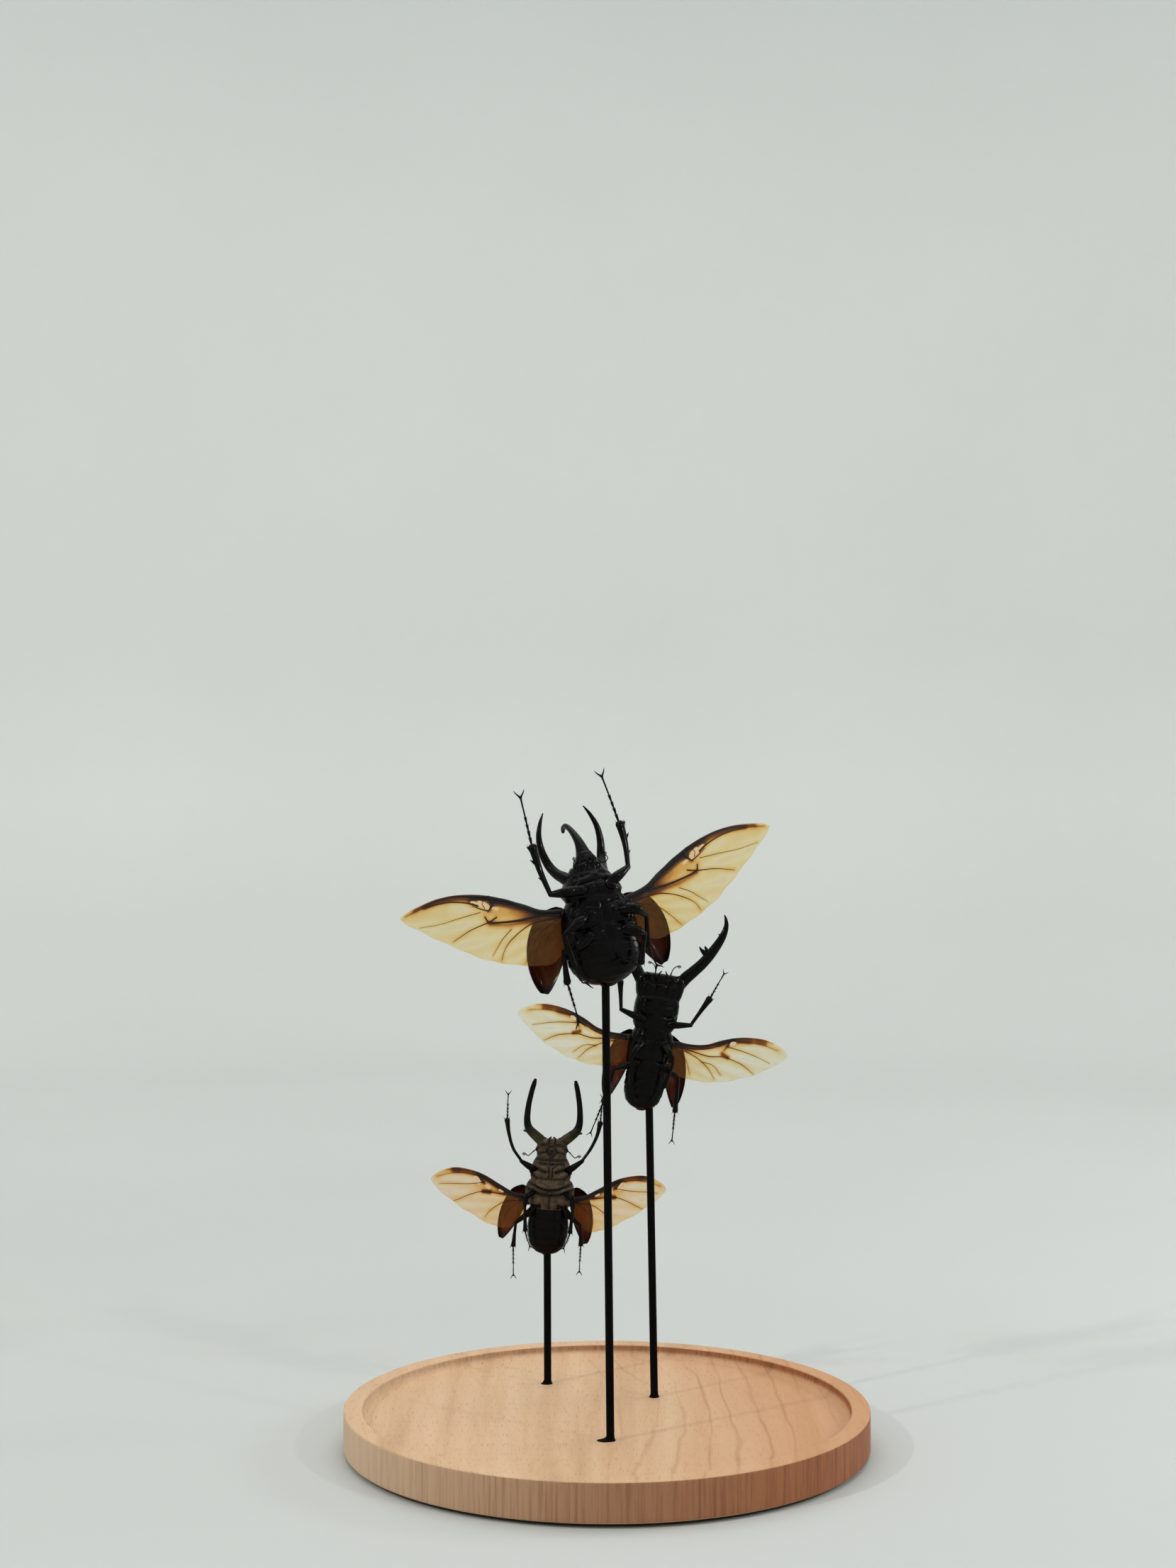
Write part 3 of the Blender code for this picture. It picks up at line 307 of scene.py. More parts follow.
BRONZE_STAG = {
    "name": "bronze_stag", "lean": 3.0, "yaw": 0.0, "squareness": 2.2,
    "chest": "downy_cuticle", "jaw": "bronze_cuticle", "film": (1.0, 0.82, 0.61), "shell": 1.5,
    "glue": 1.2, "flank": 0.9,
    "abdomen": [(0, 2.5, 2, 0), (1.5, 6, 3.6, 0), (5, 8.9, 5, 0), (11, 10.1, 5.6, 0),
                (17, 10.1, 5.8, 0), (23.6, 9.6, 5.9, 0)],
    "hind_thorax": [(23.4, 9.4, 6, 0), (28, 11.3, 6.6, 0), (32, 12.3, 6.6, 0),
                    (35.4, 11.3, 6.2, 0), (37.3, 9.8, 5.6, 0)],
    "prothorax": [(36.9, 9.2, 5.6, 0), (39, 10, 6.1, 0), (43, 9.8, 6.2, 0), (46, 8.8, 5.6, 0),
                  (47.3, 8.1, 5, 0)],
    "head": [(46.9, 7.6, 4.6, 0), (49.5, 7.3, 4.7, 0), (53, 7.7, 4.4, 0), (55.5, 7.1, 3.8, 0),
             (56.8, 5.6, 3, 0)],
    "plates": [0.3, 3.8, 8.2, 12.8, 17.6, 23.6],
    "plate_step": 0.32,
    "grooves": {
        "hind_thorax": [([(0, 24), (0, 30)], 0.6, 0.5), ([(0, 30), (5, 30.6), (12, 32.8)], 0.8, 0.55),
                        ([(0, 32.6), (4.6, 33.4), (12.4, 36.2)], 0.8, 0.5),
                        ([(4.6, 24), (7, 27), (11, 29.6)], 0.6, 0.5), ([(1.2, 30.4), (1.4, 33)], 0.5, 0.4)],
        "prothorax": [([(0.9, 37.6), (0.7, 40.6), (1.3, 44)], 0.7, 0.4),
                      ([(2.4, 38), (6, 37.6), (9.4, 40.4)], 0.7, 0.5),
                      ([(2.6, 41.6), (6.4, 43), (9.6, 43)], 0.7, 0.5), ([(0, 45.6), (6, 46)], 0.5, 0.5)],
        "head": [([(0, 48.4), (2.6, 51.6), (1.4, 54), (0, 54.4)], 0.6, 0.45),
                 ([(2.6, 51.6), (6.6, 50.6)], 0.5, 0.4), ([(1.6, 55.4), (5.4, 54.6)], 0.8, 0.7),
                 ([(0, 50.6), (0, 51.8)], 0.8, 0.8)],
    },
    "pads": {
        "prothorax": [(5.9, -5.0, 40.3, 3.1, 1.2, 24), (3.0, -5.6, 43.6, 2.0, 0.9, 30)],
        "hind_thorax": [(3.6, -6.2, 34.7, 3.0, 0.9, 16), (6.8, -5.4, 33.0, 3.4, 0.8, 20),
                        (6.4, -5.6, 27.2, 2.6, 2.0, -30)],
    },
    "horns": {},
    "eye": (7.3, -0.4, 52.2, 1.25),
    "palps": [[(1.2, -2.6, 55.6, 0.5), (1.6, -3.2, 57.8, 0.42), (0.7, -3.2, 59, 0.34)]],
    "mandible": {
        "blade": [(2.8, 0, 53.6, 2.3), (6, 0, 56.8, 2.5), (9.4, 0.1, 59.6, 2.3), (12, 0.3, 62.2, 2.0),
                  (13.2, 0.5, 66.4, 1.6), (12.9, 0.8, 73.5, 1.35), (11.7, 1, 80.5, 1.25),
                  (10.7, 1, 84.6, 1.15), (10.2, 1, 86.6, 0.8)],
        "teeth": [[(10.6, 0.2, 61, 1.6), (12.6, 0.2, 61.2, 1.2), (14.4, 0.2, 61, 0.5)],
                  [(4.6, 0, 56.6, 1.1), (3.4, 0, 58, 0.4)]],
    },
    "antenna": [(6.5, -2.5, 53.5), (9.2, -3, 51.4), (11.6, -3, 49.2), (13.4, -3, 50.2)],
    "wing_hinge": (10.6, 28.6),
    "wing_angle": {"left": 7.3, "right": 8.6},
    "wing_span": {"left": 1.0, "right": 0.97},
    "wing_front": [(0, 0), (7.5, 0.2), (15, 2.8), (22.5, 5.8), (30, 7.3), (38, 7.2), (44.5, 4.8),
                   (48.6, 1.4), (49.8, -0.8)],
    "wing_back": [(0, -8), (2.4, -14), (7.4, -18), (15, -18.2), (25, -15), (36, -10.4), (44.6, -5.6),
                  (48.6, -2.6), (49.8, -0.8)],
    "veins": [
        ([(0, -0.8), (7.5, -0.5), (15, 2.1), (22.5, 5.1), (26, 6.2)], 0.62, 0.36),
        ([(26, 6.2), (31, 6.8), (38, 6.7), (43, 5)], 0.2, 0.05),
        ([(2, -1.8), (8, -1.4), (15, 0.8), (21, 3.4), (25, 5.2)], 0.34, 0.2),
        ([(26.4, 5.4), (24.8, 3), (22.4, 1.6)], 0.34, 0.2),
        ([(24, 2), (31, 0.1), (40, -1.4), (45, -2.4)], 0.18, 0.07),
        ([(2, -2.6), (9, -1.8), (16, -2), (22.4, -2.2), (28.4, -4.6), (33.4, -7.8), (36.4, -9.6)],
         0.3, 0.1),
        ([(4, -3.4), (10.4, -5), (14.6, -8), (17.8, -11.4), (19.4, -14.6)], 0.22, 0.08),
        ([(3, -4), (8.4, -9), (10.4, -14.6)], 0.18, 0.07),
        ([(27.4, 5), (34, 5), (41, 3.6), (46.6, 1)], 0.16, 0.07),
    ],
    "stains": [([(26, 5.6), (32, 6.2), (39, 5.9)], 1.6, 0.42), ([(37, 5.9), (43, 4), (47, 1.4)], 1.7, 0.2),
               ([(1, -1.2), (12, 0), (24, 4.6)], 0.9, 0.42), ([(19.6, -2.2), (22.6, -2.4)], 1.1, 0.5),
               ([(26, 0.6), (22, 0.2), (12, -1.4)], 1.7, 0.2), ([(24.6, 4.8), (23.4, 2.4)], 0.8, 0.3)],
    "pale_patch": [([(27.6, 3.6), (25.8, 1.9)], 1.0), ([(21.4, 0.6), (20.2, 0.0)], 0.65),
                   ([(14.6, 0.0), (13.2, -0.4)], 0.55)],
    "elytron": {"root": (12.9, 33.0), "tip": {"left": (23.2, 5.8), "right": (19.0, 5.0)},
                "outer": 6.4, "inner": 4.6, "depth": 4.2, "vault": 2.6, "ribs": 0.10, "taper": 0.2},
    "legs": {
        "front_left": ([(-7.5, -3.2, 42, 1.6), (-11, -6.2, 44.4, 1.5), (-14.9, -7, 46.8, 1.2)],
                       [(-15, -6.9, 47.2, 0.85), (-19.3, -6, 52.9, 0.85), (-21.8, -5, 60, 0.9),
                        (-23, -4, 66.3, 1.2)],
                       [(-23, -3.9, 67, 0.5), (-23.2, -3, 73, 0.45), (-23.3, -2, 79.1, 0.4)]),
        "front_right": ([(7.5, -3.2, 42, 1.6), (10.8, -6.2, 44.6, 1.5), (15.5, -7, 48.4, 1.2)],
                        [(15.6, -6.9, 48.8, 0.85), (19.4, -6, 54.6, 0.85), (22.2, -5, 61, 0.9),
                         (23.5, -4, 67.1, 1.2)],
                        [(23.5, -3.9, 67.8, 0.5), (23.8, -3, 74, 0.45), (24.1, -2, 79.8, 0.4)]),
        **both("mid", [(7.5, -4.6, 31.5, 1.4), (11.4, -7.8, 29.5, 1.4), (12, -8.6, 25, 1.2)],
               [(12, -8.6, 24.6, 0.85), (11.6, -8.4, 19, 0.85), (11.2, -8.2, 13, 1.05)],
               [(11.1, -8.2, 12.4, 0.45), (10, -7.6, 8.4, 0.4), (8.4, -7, 4.5, 0.38)]),
        "hind_left": ([(-6, -4.6, 25.5, 1.5), (-11, -5, 20, 1.4), (-16.2, -2.6, 15.2, 1.1)],
                      [(-16.2, -2.5, 14.8, 0.8), (-16.6, -1.2, 9.4, 0.85), (-16.9, 0.4, 3.4, 1.1)],
                      [(-16.9, 0.5, 2.8, 0.5), (-16.5, 1.2, -4.4, 0.42), (-16.1, 2, -12, 0.4)]),
        "hind_right": ([(6, -4.6, 25.5, 1.5), (11, -5, 20, 1.4), (16, -2.6, 15.4, 1.1)],
                       [(16, -2.5, 15, 0.8), (16.5, -1.2, 10.2, 0.85), (16.9, 0.4, 5.4, 1.1)],
                       [(16.9, 0.5, 4.8, 0.5), (16.9, 1.2, -2, 0.42), (16.9, 2, -8.6, 0.4)]),
    },
    "teeth": {"front": [(0.45, 0.4, 1), (0.62, 0.45, 1), (0.78, 0.5, 1), (0.95, 1.1, 1)],
              "mid": [(0.55, 0.5, 1)], "hind": [(0.6, 0.5, 1)]},
    "claw": 2.3, "edge": 0.7,
}

BEETLES = (ATLAS, BLACK_STAG, BRONZE_STAG)


# ---------------------------------------------------------------- mesh kit
def smooth_path(points, steps):
    """Catmull-Rom curve through rows of numbers, with `steps` samples in each span."""
    p = np.asarray(points, float)
    p = np.vstack([2 * p[0] - p[1], p, 2 * p[-1] - p[-2]])
    t = np.linspace(0, 1, steps, endpoint=False)[:, None]
    spans = []
    for a, b, c, d in zip(p, p[1:], p[2:], p[3:]):
        spans.append(0.5 * (2 * b + (c - a) * t + (2 * a - 5 * b + 4 * c - d) * t ** 2
                            + (3 * b - a - 3 * c + d) * t ** 3))
    spans.append(p[-2:-1])
    return np.vstack(spans)


def resample(points, count):
    """Points at even distances along a line."""
    length = np.concatenate([[0], np.cumsum(np.linalg.norm(np.diff(points, axis=0), axis=1))])
    at = np.linspace(0, length[-1], count)
    return np.stack([np.interp(at, length, column) for column in points.T], axis=1)


def distance_to_line(x, z, line):
    """Distance from each (x, z) to a line of points."""
    best = np.full(np.shape(x), 1e9)
    for (x0, z0), (x1, z1) in zip(line, line[1:]):
        dx, dz = x1 - x0, z1 - z0
        t = np.clip(((x - x0) * dx + (z - z0) * dz) / (dx * dx + dz * dz), 0, 1)
        best = np.minimum(best, np.hypot(x - x0 - t * dx, z - z0 - t * dz))
    return best


def unit(vectors):
    """Vectors of length one."""
    return vectors / np.maximum(np.linalg.norm(vectors, axis=-1, keepdims=True), 1e-9)


def hump(value, width, power=2):
    """1 where the value is 0, fading to 0 over a few widths."""
    return np.exp(-(value / width) ** power)


def circle(steps):
    """Angles evenly round a circle."""
    return np.linspace(0, 2 * math.pi, steps, endpoint=False)


def add_object(name, data):
    """A new object in the scene."""
    obj = bpy.data.objects.new(name, data)
    bpy.context.scene.collection.objects.link(obj)
    return obj


class Shape:
    """Collects skins in millimetres and makes one mesh object of them."""

    def __init__(self):
        self.points, self.faces, self.tints, self.count = [], [], [], 0

    def add(self, points, faces, tint=0.0):
        """Points, their faces, and a tint for all of them or for each."""
        points = np.asarray(points, float).reshape(-1, 3)
        self.points.append(points)
        self.tints.append(np.broadcast_to(tint, len(points)))
        self.faces.extend([tuple(int(k) + self.count for k in face) for face in faces])
        self.count += len(points)

    def skin(self, grid, wrap=True, ends=True, tint=0.0):
        """Quads over a grid of points; wrap closes the columns, ends adds a pole at each end."""
        rows, columns = grid.shape[:2]
        index = np.arange(rows * columns).reshape(rows, columns)
        if wrap:
            index = np.concatenate([index, index[:, :1]], axis=1)
        faces = np.stack([index[:-1, :-1], index[:-1, 1:], index[1:, 1:], index[1:, :-1]],
                         axis=-1).reshape(-1, 4).tolist()
        points, tints = grid.reshape(-1, 3), np.broadcast_to(tint, (rows, columns)).ravel()
        if wrap and ends:
            poles = [grid[0].mean(0), grid[-1].mean(0)]
            points = np.vstack([points, poles])
            tints = np.concatenate([tints, [tints[0], tints[-1]]])
            low, high = rows * columns, rows * columns + 1
            faces += [(low, b, a) for a, b in zip(index[0], index[0, 1:])]
            faces += [(high, a, b) for a, b in zip(index[-1], index[-1, 1:])]
        self.add(points, faces, tints)

    def tube(self, path, sides=14, flat=1.0, tint=0.0, rounded=(True, True), keel=(0.0, 1)):
        """Closed skin round a path of (x, y, z, radius).

        flat scales its depth, and keel is the height and count of ridges along it.
        """
        path = np.asarray(path, float)
        direction = unit(np.gradient(path[:, :3], axis=0))
        ends = []
        for at, sign, wanted in ((0, -1, rounded[0]), (-1, 1, rounded[1])):
            extra = []
            for angle in (CAP_ANGLES if wanted else (88,)):
                turn = math.radians(angle)
                reach = path[at, 3] * (math.sin(turn) if wanted else 0.02)
                spot = path[at, :3] + sign * direction[at] * reach
                extra.append(np.append(spot, path[at, 3] * math.cos(turn)))
            ends.append(extra)
        path = np.vstack([ends[0][::-1], path, ends[1]])
        direction = np.vstack([[direction[0]] * len(ends[0]), direction,
                               [direction[-1]] * len(ends[1])])
        lie = np.array(DEPTH_AXIS)
        depth = unit(lie - (direction @ lie)[:, None] * direction)
        across = np.cross(direction, depth)
        turn = circle(sides)
        radius = path[:, 3:4] * (1 + keel[0] * np.cos(keel[1] * turn))[None, :]
        grid = (path[:, None, :3]
                + (radius * np.cos(turn))[..., None] * across[:, None]
                + (radius * np.sin(turn) * flat)[..., None] * depth[:, None])
        if np.ndim(tint):
            tint = np.concatenate([[tint[0]] * len(ends[0]), tint, [tint[-1]] * len(ends[1])])[:, None]
        self.skin(grid, tint=tint)

    def ball(self, centre, radii, tilt=(0.0, 0.0, 0.0), tint=0.0, rows=14, columns=20):
        """Ellipsoid with its own tilt, in degrees."""
        up = np.linspace(0.06, math.pi - 0.06, rows)[:, None]
        turn = circle(columns)[None, :]
        grid = np.stack([np.sin(up) * np.cos(turn) * radii[0], np.sin(up) * np.sin(turn) * radii[1],
                         np.cos(up) * np.ones_like(turn) * radii[2]], axis=-1)
        turned = np.array(Euler([math.radians(a) for a in tilt]).to_matrix())
        self.skin(grid @ turned.T + np.asarray(centre, float), tint=tint)

    def hairs(self, roots, directions, length, width, tint=1.0):
        """Closed three-sided bristles, one on each root."""
        for root, direction, reach in zip(roots, directions, length):
            direction = unit(direction)
            side = unit(np.cross(direction, (0.31, 0.52, 0.79)))
            other = np.cross(direction, side)
            base = [root + width * (side * math.cos(a) + other * math.sin(a)) for a in HAIR_ANGLES]
            self.add(base + [root + direction * reach],
                     [(0, 1, 3), (1, 2, 3), (2, 0, 3), (2, 1, 0)], tint)

    def build(self, node, slot, matrix=None, sharp=40, material=None):
        """One object in place of a CAD node, with that slot's material."""
        points = np.concatenate(self.points) * MM
        if matrix is not None:
            turned = np.array(matrix)
            points = points @ turned[:3, :3].T + turned[:3, 3]
        mesh = bpy.data.meshes.new(node + "_fine")
        mesh.from_pydata(points.tolist(), [], self.faces)
        tint = mesh.attributes.new("tint", "FLOAT", "POINT")
        tint.data.foreach_set("value", np.concatenate(self.tints).astype(np.float32))
        bm = bmesh.new()
        bm.from_mesh(mesh)
        bmesh.ops.remove_doubles(bm, verts=bm.verts, dist=1e-7)
        bmesh.ops.recalc_face_normals(bm, faces=bm.faces)
        bm.to_mesh(mesh)
        bm.free()
        mesh.shade_smooth()
        mesh.set_sharp_from_angle(angle=math.radians(sharp))
        mesh.materials.append(MATERIALS[material or slot])
        obj = add_object(node + "_fine", mesh)
        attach(obj, "root")
        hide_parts(node)


# ---------------------------------------------------------------- node kit
class Nodes:
    """Short way to write a material's nodes."""

    def __init__(self, name):
        self.material = bpy.data.materials.new(name)
        self.material.use_nodes = True
        self.tree = self.material.node_tree
        self.shader = self.tree.nodes["Principled BSDF"]
        self.place = self.tree.nodes.new("ShaderNodeTexCoord").outputs["Object"]

    def link(self, source, socket):
        """A wire from one node to another."""
        self.tree.links.new(source, socket)

    def put(self, socket, value):
        """A link or a plain number into a socket."""
        if isinstance(value, bpy.types.NodeSocket):
            self.link(value, socket)
        else:
            socket.default_value = value

    def noise(self, scale, stretch=None, **shape):
        """Noise over the surface; stretch scales x, y and z first, shape sets Detail and so on."""
        place = self.place
        if stretch:
            mapping = self.tree.nodes.new("ShaderNodeMapping")
            mapping.inputs["Scale"].default_value = stretch
            self.link(place, mapping.inputs["Vector"])
            place = mapping.outputs["Vector"]
        node = self.tree.nodes.new("ShaderNodeTexNoise")
        node.inputs["Scale"].default_value = scale
        node.inputs["Detail"].default_value = 3.0
        for name, value in shape.items():
            node.inputs[name.capitalize()].default_value = value
        self.link(place, node.inputs["Vector"])
        return node.outputs["Fac"]

    def cells(self, scale):
        """Distance to the nearest of scattered points."""
        node = self.tree.nodes.new("ShaderNodeTexVoronoi")
        node.inputs["Scale"].default_value = scale
        self.link(self.place, node.inputs["Vector"])
        return node.outputs["Distance"]

    def ramp(self, fac, stops):
        """Colours along a value, from (place, colour) stops."""
        node = self.tree.nodes.new("ShaderNodeValToRGB")
        elements = node.color_ramp.elements
        while len(elements) < len(stops):
            elements.new(0.5)
        for element, (position, colour) in zip(elements, stops):
            element.position = position
            element.color = (*colour, 1.0)
        self.link(fac, node.inputs["Fac"])
        return node.outputs["Color"]

    def math(self, operation, a, b=0.0):
        """One Math node."""
        node = self.tree.nodes.new("ShaderNodeMath")
        node.operation = operation
        self.put(node.inputs[0], a)
        self.put(node.inputs[1], b)
        return node.outputs["Value"]

    def times(self, a, b):
        return self.math("MULTIPLY", a, b)

    def plus(self, a, b):
        return self.math("ADD", a, b)

    def fit(self, value, low, high, to_low=0.0, to_high=1.0):
        """The value's range low to high, clamped, becomes to_low to to_high."""
        node = self.tree.nodes.new("ShaderNodeMapRange")
        for name, number in (("From Min", low), ("From Max", high), ("To Min", to_low),
                             ("To Max", to_high)):
            node.inputs[name].default_value = number
        self.link(value, node.inputs["Value"])
        return node.outputs["Result"]

    def mix(self, fac, a, b, blend="MIX"):
        """Colour a where fac is 0, and b where it is 1."""
        node = self.tree.nodes.new("ShaderNodeMix")
        node.data_type = "RGBA"
        node.blend_type = blend
        self.put(node.inputs["Factor"], fac)
        for socket, value in ((node.inputs[6], a), (node.inputs[7], b)):
            self.put(socket, (*value, 1.0) if isinstance(value, tuple) else value)
        return node.outputs[2]

    def vary(self, low, high, scale, stretch=None, **shape):
        """Noise spread from low to high."""
        return self.fit(self.noise(scale, stretch, **shape), 0.3, 0.7, low, high)

    def axes(self, vector=None):
        """X, y and z of the place on the surface, or of another vector."""
        node = self.tree.nodes.new("ShaderNodeSeparateXYZ")
        self.link(vector or self.place, node.inputs["Vector"])
        return node.outputs

    def tint(self):
        """The tint that the mesh carries at each point."""
        node = self.tree.nodes.new("ShaderNodeAttribute")
        node.attribute_name = "tint"
        return node.outputs["Fac"]

    def bump(self, height, distance, strength=1.0, after=None):
        """Small relief, in metres, laid over another bump's normal."""
        node = self.tree.nodes.new("ShaderNodeBump")
        node.inputs["Strength"].default_value = strength
        node.inputs["Distance"].default_value = distance
        self.link(height, node.inputs["Height"])
        if after is not None:
            self.link(after, node.inputs["Normal"])
        return node.outputs["Normal"]

    def finish(self, colour, roughness, normal, **constants):
        """The shader's three links, and its plain numbers by name."""
        self.link(colour, self.shader.inputs["Base Color"])
        self.put(self.shader.inputs["Roughness"], roughness)
        self.link(normal, self.shader.inputs["Normal"])
        for name, value in constants.items():
            self.shader.inputs[name.replace("_", " ")].default_value = value
        return self.material


def cuticle(name, dark, light, edge, gloss, specular, coat=0.0):
    """Hard beetle skin: mottled colour, fine pits and wrinkles; tint leads to the edge colour."""
    n = Nodes(name)
    mottle = n.noise(260, detail=5, roughness=0.65)
    base = n.ramp(mottle, [(0.35, dark), (0.68, light)])
    colour = n.mix(n.tint(), base, edge)
    pits = n.fit(n.cells(1500), 0.0, 0.42)
    wrinkle = n.noise(900, (1.0, 1.0, 2.2), detail=4, roughness=0.6)
    normal = n.bump(pits, 0.00007, 0.8)
    normal = n.bump(wrinkle, 0.00012, 0.6, normal)
    rough = n.vary(*gloss, 420, detail=4)
    return n.finish(colour, rough, normal, Specular_IOR_Level=specular, Coat_Weight=coat,
                    Coat_Roughness=0.07)


def downy():
    """Brown-grey downy skin; tint 1 is the down itself."""
    n = Nodes("downy_cuticle")
    base = n.ramp(n.noise(380, detail=5, roughness=0.7),
                  [(0.3, (0.004, 0.003, 0.002)), (0.7, (0.016, 0.011, 0.007))])
    down = n.ramp(n.noise(420), [(0.3, (0.055, 0.036, 0.020)), (0.7, (0.17, 0.118, 0.070))])
    colour = n.mix(n.tint(), base, down)
    normal = n.bump(n.cells(1100), 0.00014, 0.8)
    normal = n.bump(n.noise(2600), 0.00006, 0.7, normal)
    rough = n.vary(0.45, 0.8, 500)
    return n.finish(colour, rough, normal, Specular_IOR_Level=0.12, Sheen_Weight=0.03,
                    Sheen_Roughness=0.5)


def elytron_brown(name, tone):
    """Wing case: red-brown shell, almost black where tint is 1, with fine pits."""
    n = Nodes(name)
    grain = n.noise(300, (1.0, 1.0, 0.35), detail=5, roughness=0.6)
    browns = ((0.3, (0.048, 0.008, 0.003)), (0.52, (0.085, 0.016, 0.006)),
              (0.74, (0.165, 0.042, 0.014)))
    base = n.ramp(grain, [(at, tuple(tone * channel for channel in rgb)) for at, rgb in browns])
    colour = n.mix(n.tint(), base, (0.005, 0.002, 0.0015))
    normal = n.bump(n.fit(n.cells(1300), 0.0, 0.4), 0.00006, 0.7)
    normal = n.bump(n.noise(650, (1.0, 1.0, 0.3), detail=4), 0.00012, 0.6, normal)
    rough = n.vary(0.24, 0.42, 500)
    return n.finish(colour, rough, normal, Specular_IOR_Level=0.06, Coat_Weight=0.04,
                    Coat_Roughness=0.12)


def wing_membrane(name, film):
    """Thin film that colours what is seen through it; tint leads over orange to a dark vein.

    Light passes a front and a back face, so each face lets through the root of the whole.
    """
    n = Nodes(name)
    cloud = n.vary(-0.02, 0.025, 160, detail=4, roughness=0.6)
    stain = n.fit(n.plus(n.tint(), cloud), -0.25, 1.0)
    warm = tuple(a * b for a, b in zip(film, (1.0, 0.84, 0.56)))
    whole = [(0.0, (1.0, 0.74, 0.54)), (0.2, film), (0.31, warm), (0.44, (0.95, 0.53, 0.15)),
             (0.58, (0.52, 0.17, 0.035)), (0.73, (0.12, 0.025, 0.008)), (0.87, (0.012, 0.004, 0.003))]
    passed = n.ramp(stain, [(at, tuple(math.sqrt(channel) for channel in rgb)) for at, rgb in whole])
    colour = n.ramp(stain, [(0.0, (0.92, 0.58, 0.40)), (0.2, (0.50, 0.37, 0.20)),
                            (0.4, (0.50, 0.26, 0.09)), (0.6, (0.20, 0.07, 0.02)),
                            (0.84, (0.010, 0.005, 0.004))])
    solid = n.ramp(stain, [(0.0, (0.34,) * 3), (0.2, (0.035,) * 3), (0.45, (0.12,) * 3),
                           (0.82, (1.0,) * 3)])
    ripple = n.noise(420, detail=4, roughness=0.6, distortion=0.6)
    normal = n.bump(ripple, 0.00016, 0.7)
    normal = n.bump(n.cells(2400), 0.00003, 0.5, normal)
    rough = n.vary(0.28, 0.5, 350)
    n.finish(colour, rough, normal, Specular_IOR_Level=0.25)
    clear = n.tree.nodes.new("ShaderNodeBsdfTransparent")
    n.link(passed, clear.inputs["Color"])
    both = n.tree.nodes.new("ShaderNodeMixShader")
    n.link(solid, both.inputs["Fac"])
    n.link(clear.outputs["BSDF"], both.inputs[1])
    n.link(n.shader.outputs["BSDF"], both.inputs[2])
    n.link(both.outputs["Shader"], n.tree.nodes["Material Output"].inputs["Surface"])
    return n.material


def beech():
    """Steamed beech, grain along y: soft bands, cathedral lines, short dark flecks; with painted shade on
    the floor, darker and redder towards the right, and painted light and shade on the wall, lit on the left
    and shaded red-brown on the right.
    """
    n = Nodes("beech")
    x, y = n.axes()[:2]
    waver = n.vary(-0.013, 0.013, 14, (1.0, 0.25, 1.0), detail=4)
    across = n.plus(x, n.times(y, 0.07))
    bow = n.times(n.times(y, y), 0.55)
    ring = n.plus(n.plus(across, bow), waver)
    wave = n.math("SINE", n.times(ring, TREE_RING_RATE))
    line = n.math("POWER", n.math("MAXIMUM", wave, 0.0), TREE_RING_SHARPNESS)
    line = n.times(line, n.fit(x, -0.02, 0.08, 0.12, 1.0))
    line = n.times(line, n.fit(n.noise(40, (1.0, 0.2, 1.0)), 0.35, 0.65))
    band = n.noise(55, (1.0, 0.06, 0.25), detail=6, roughness=0.6, distortion=0.3)
    base = n.ramp(band, [(0.28, (0.45, 0.265, 0.140)), (0.5, (0.56, 0.355, 0.205)),
                         (0.75, (0.62, 0.420, 0.262))])
    colour = n.mix(n.times(line, 0.75), base, (0.29, 0.125, 0.05))
    fleck = n.fit(n.noise(1.0, (2100.0, 130.0, 900.0), detail=1.0), 0.63, 0.70)
    colour = n.mix(n.times(fleck, 0.5), colour, (0.27, 0.12, 0.055))
    streak = n.noise(1.0, (560.0, 560.0, 16.0), detail=5, roughness=0.7)
    streak = n.fit(streak, 0.46, 0.66)
    geometry = n.tree.nodes.new("ShaderNodeNewGeometry")
    level = n.math("ABSOLUTE", n.axes(geometry.outputs["Normal"])[2])
    wall = n.fit(level, 0.25, 0.6, 1.0, 0.0)
    # painted shade: the floor turns darker and redder towards the right
    warm = n.fit(n.plus(x, waver), -0.01, 0.10, 0.0, 0.62)
    colour = n.mix(warm, colour, (0.45, 0.195, 0.070))
    # painted light and shade on the wall: pale and lit on the left, shaded and red-brown on the right
    side = n.ramp(n.fit(x, -0.12, 0.12), [(0.0, (0.62, 0.44, 0.295)), (0.28, (0.46, 0.27, 0.155)),
                                          (0.5, (0.335, 0.15, 0.073)), (0.8, (0.32, 0.105, 0.036)),
                                          (1.0, (0.32, 0.09, 0.026))])
    wall_painted_light_and_shade = n.mix(n.times(wall, 0.88), colour, side)
    # the wall's streaks are real, but they grow darker towards the right as painted shade
    streaks_and_painted_shade = n.mix(n.times(n.times(wall, streak),
                            n.fit(x, -0.11, 0.11, 0.25, 0.85)), wall_painted_light_and_shade, (0.16, 0.050, 0.018))
    rough = n.fit(band, 0.3, 0.7, 0.62, 0.48)
    normal = n.bump(n.noise(1.0, (1500.0, 110.0, 400.0)), 0.00006, 0.5)
    normal = n.bump(n.math("SUBTRACT", 1.0, fleck), 0.00008, 0.5, normal)
    return n.finish(streaks_and_painted_shade, rough, normal, Specular_IOR_Level=0.35)


def felt():
    """Black felt: matted fibres."""
    n = Nodes("felt")
    fibre = n.noise(2600, (1.0, 1.0, 0.6), detail=6, roughness=0.75, distortion=1.5)
    colour = n.ramp(fibre, [(0.3, (0.006, 0.006, 0.006)), (0.75, (0.035, 0.034, 0.033))])
    normal = n.bump(fibre, 0.0003, 0.9)
    rough = n.fit(fibre, 0.3, 0.7, 1.0, 0.85)
    return n.finish(colour, rough, normal, Specular_IOR_Level=0.15, Sheen_Weight=0.2,
                    Sheen_Roughness=0.6)


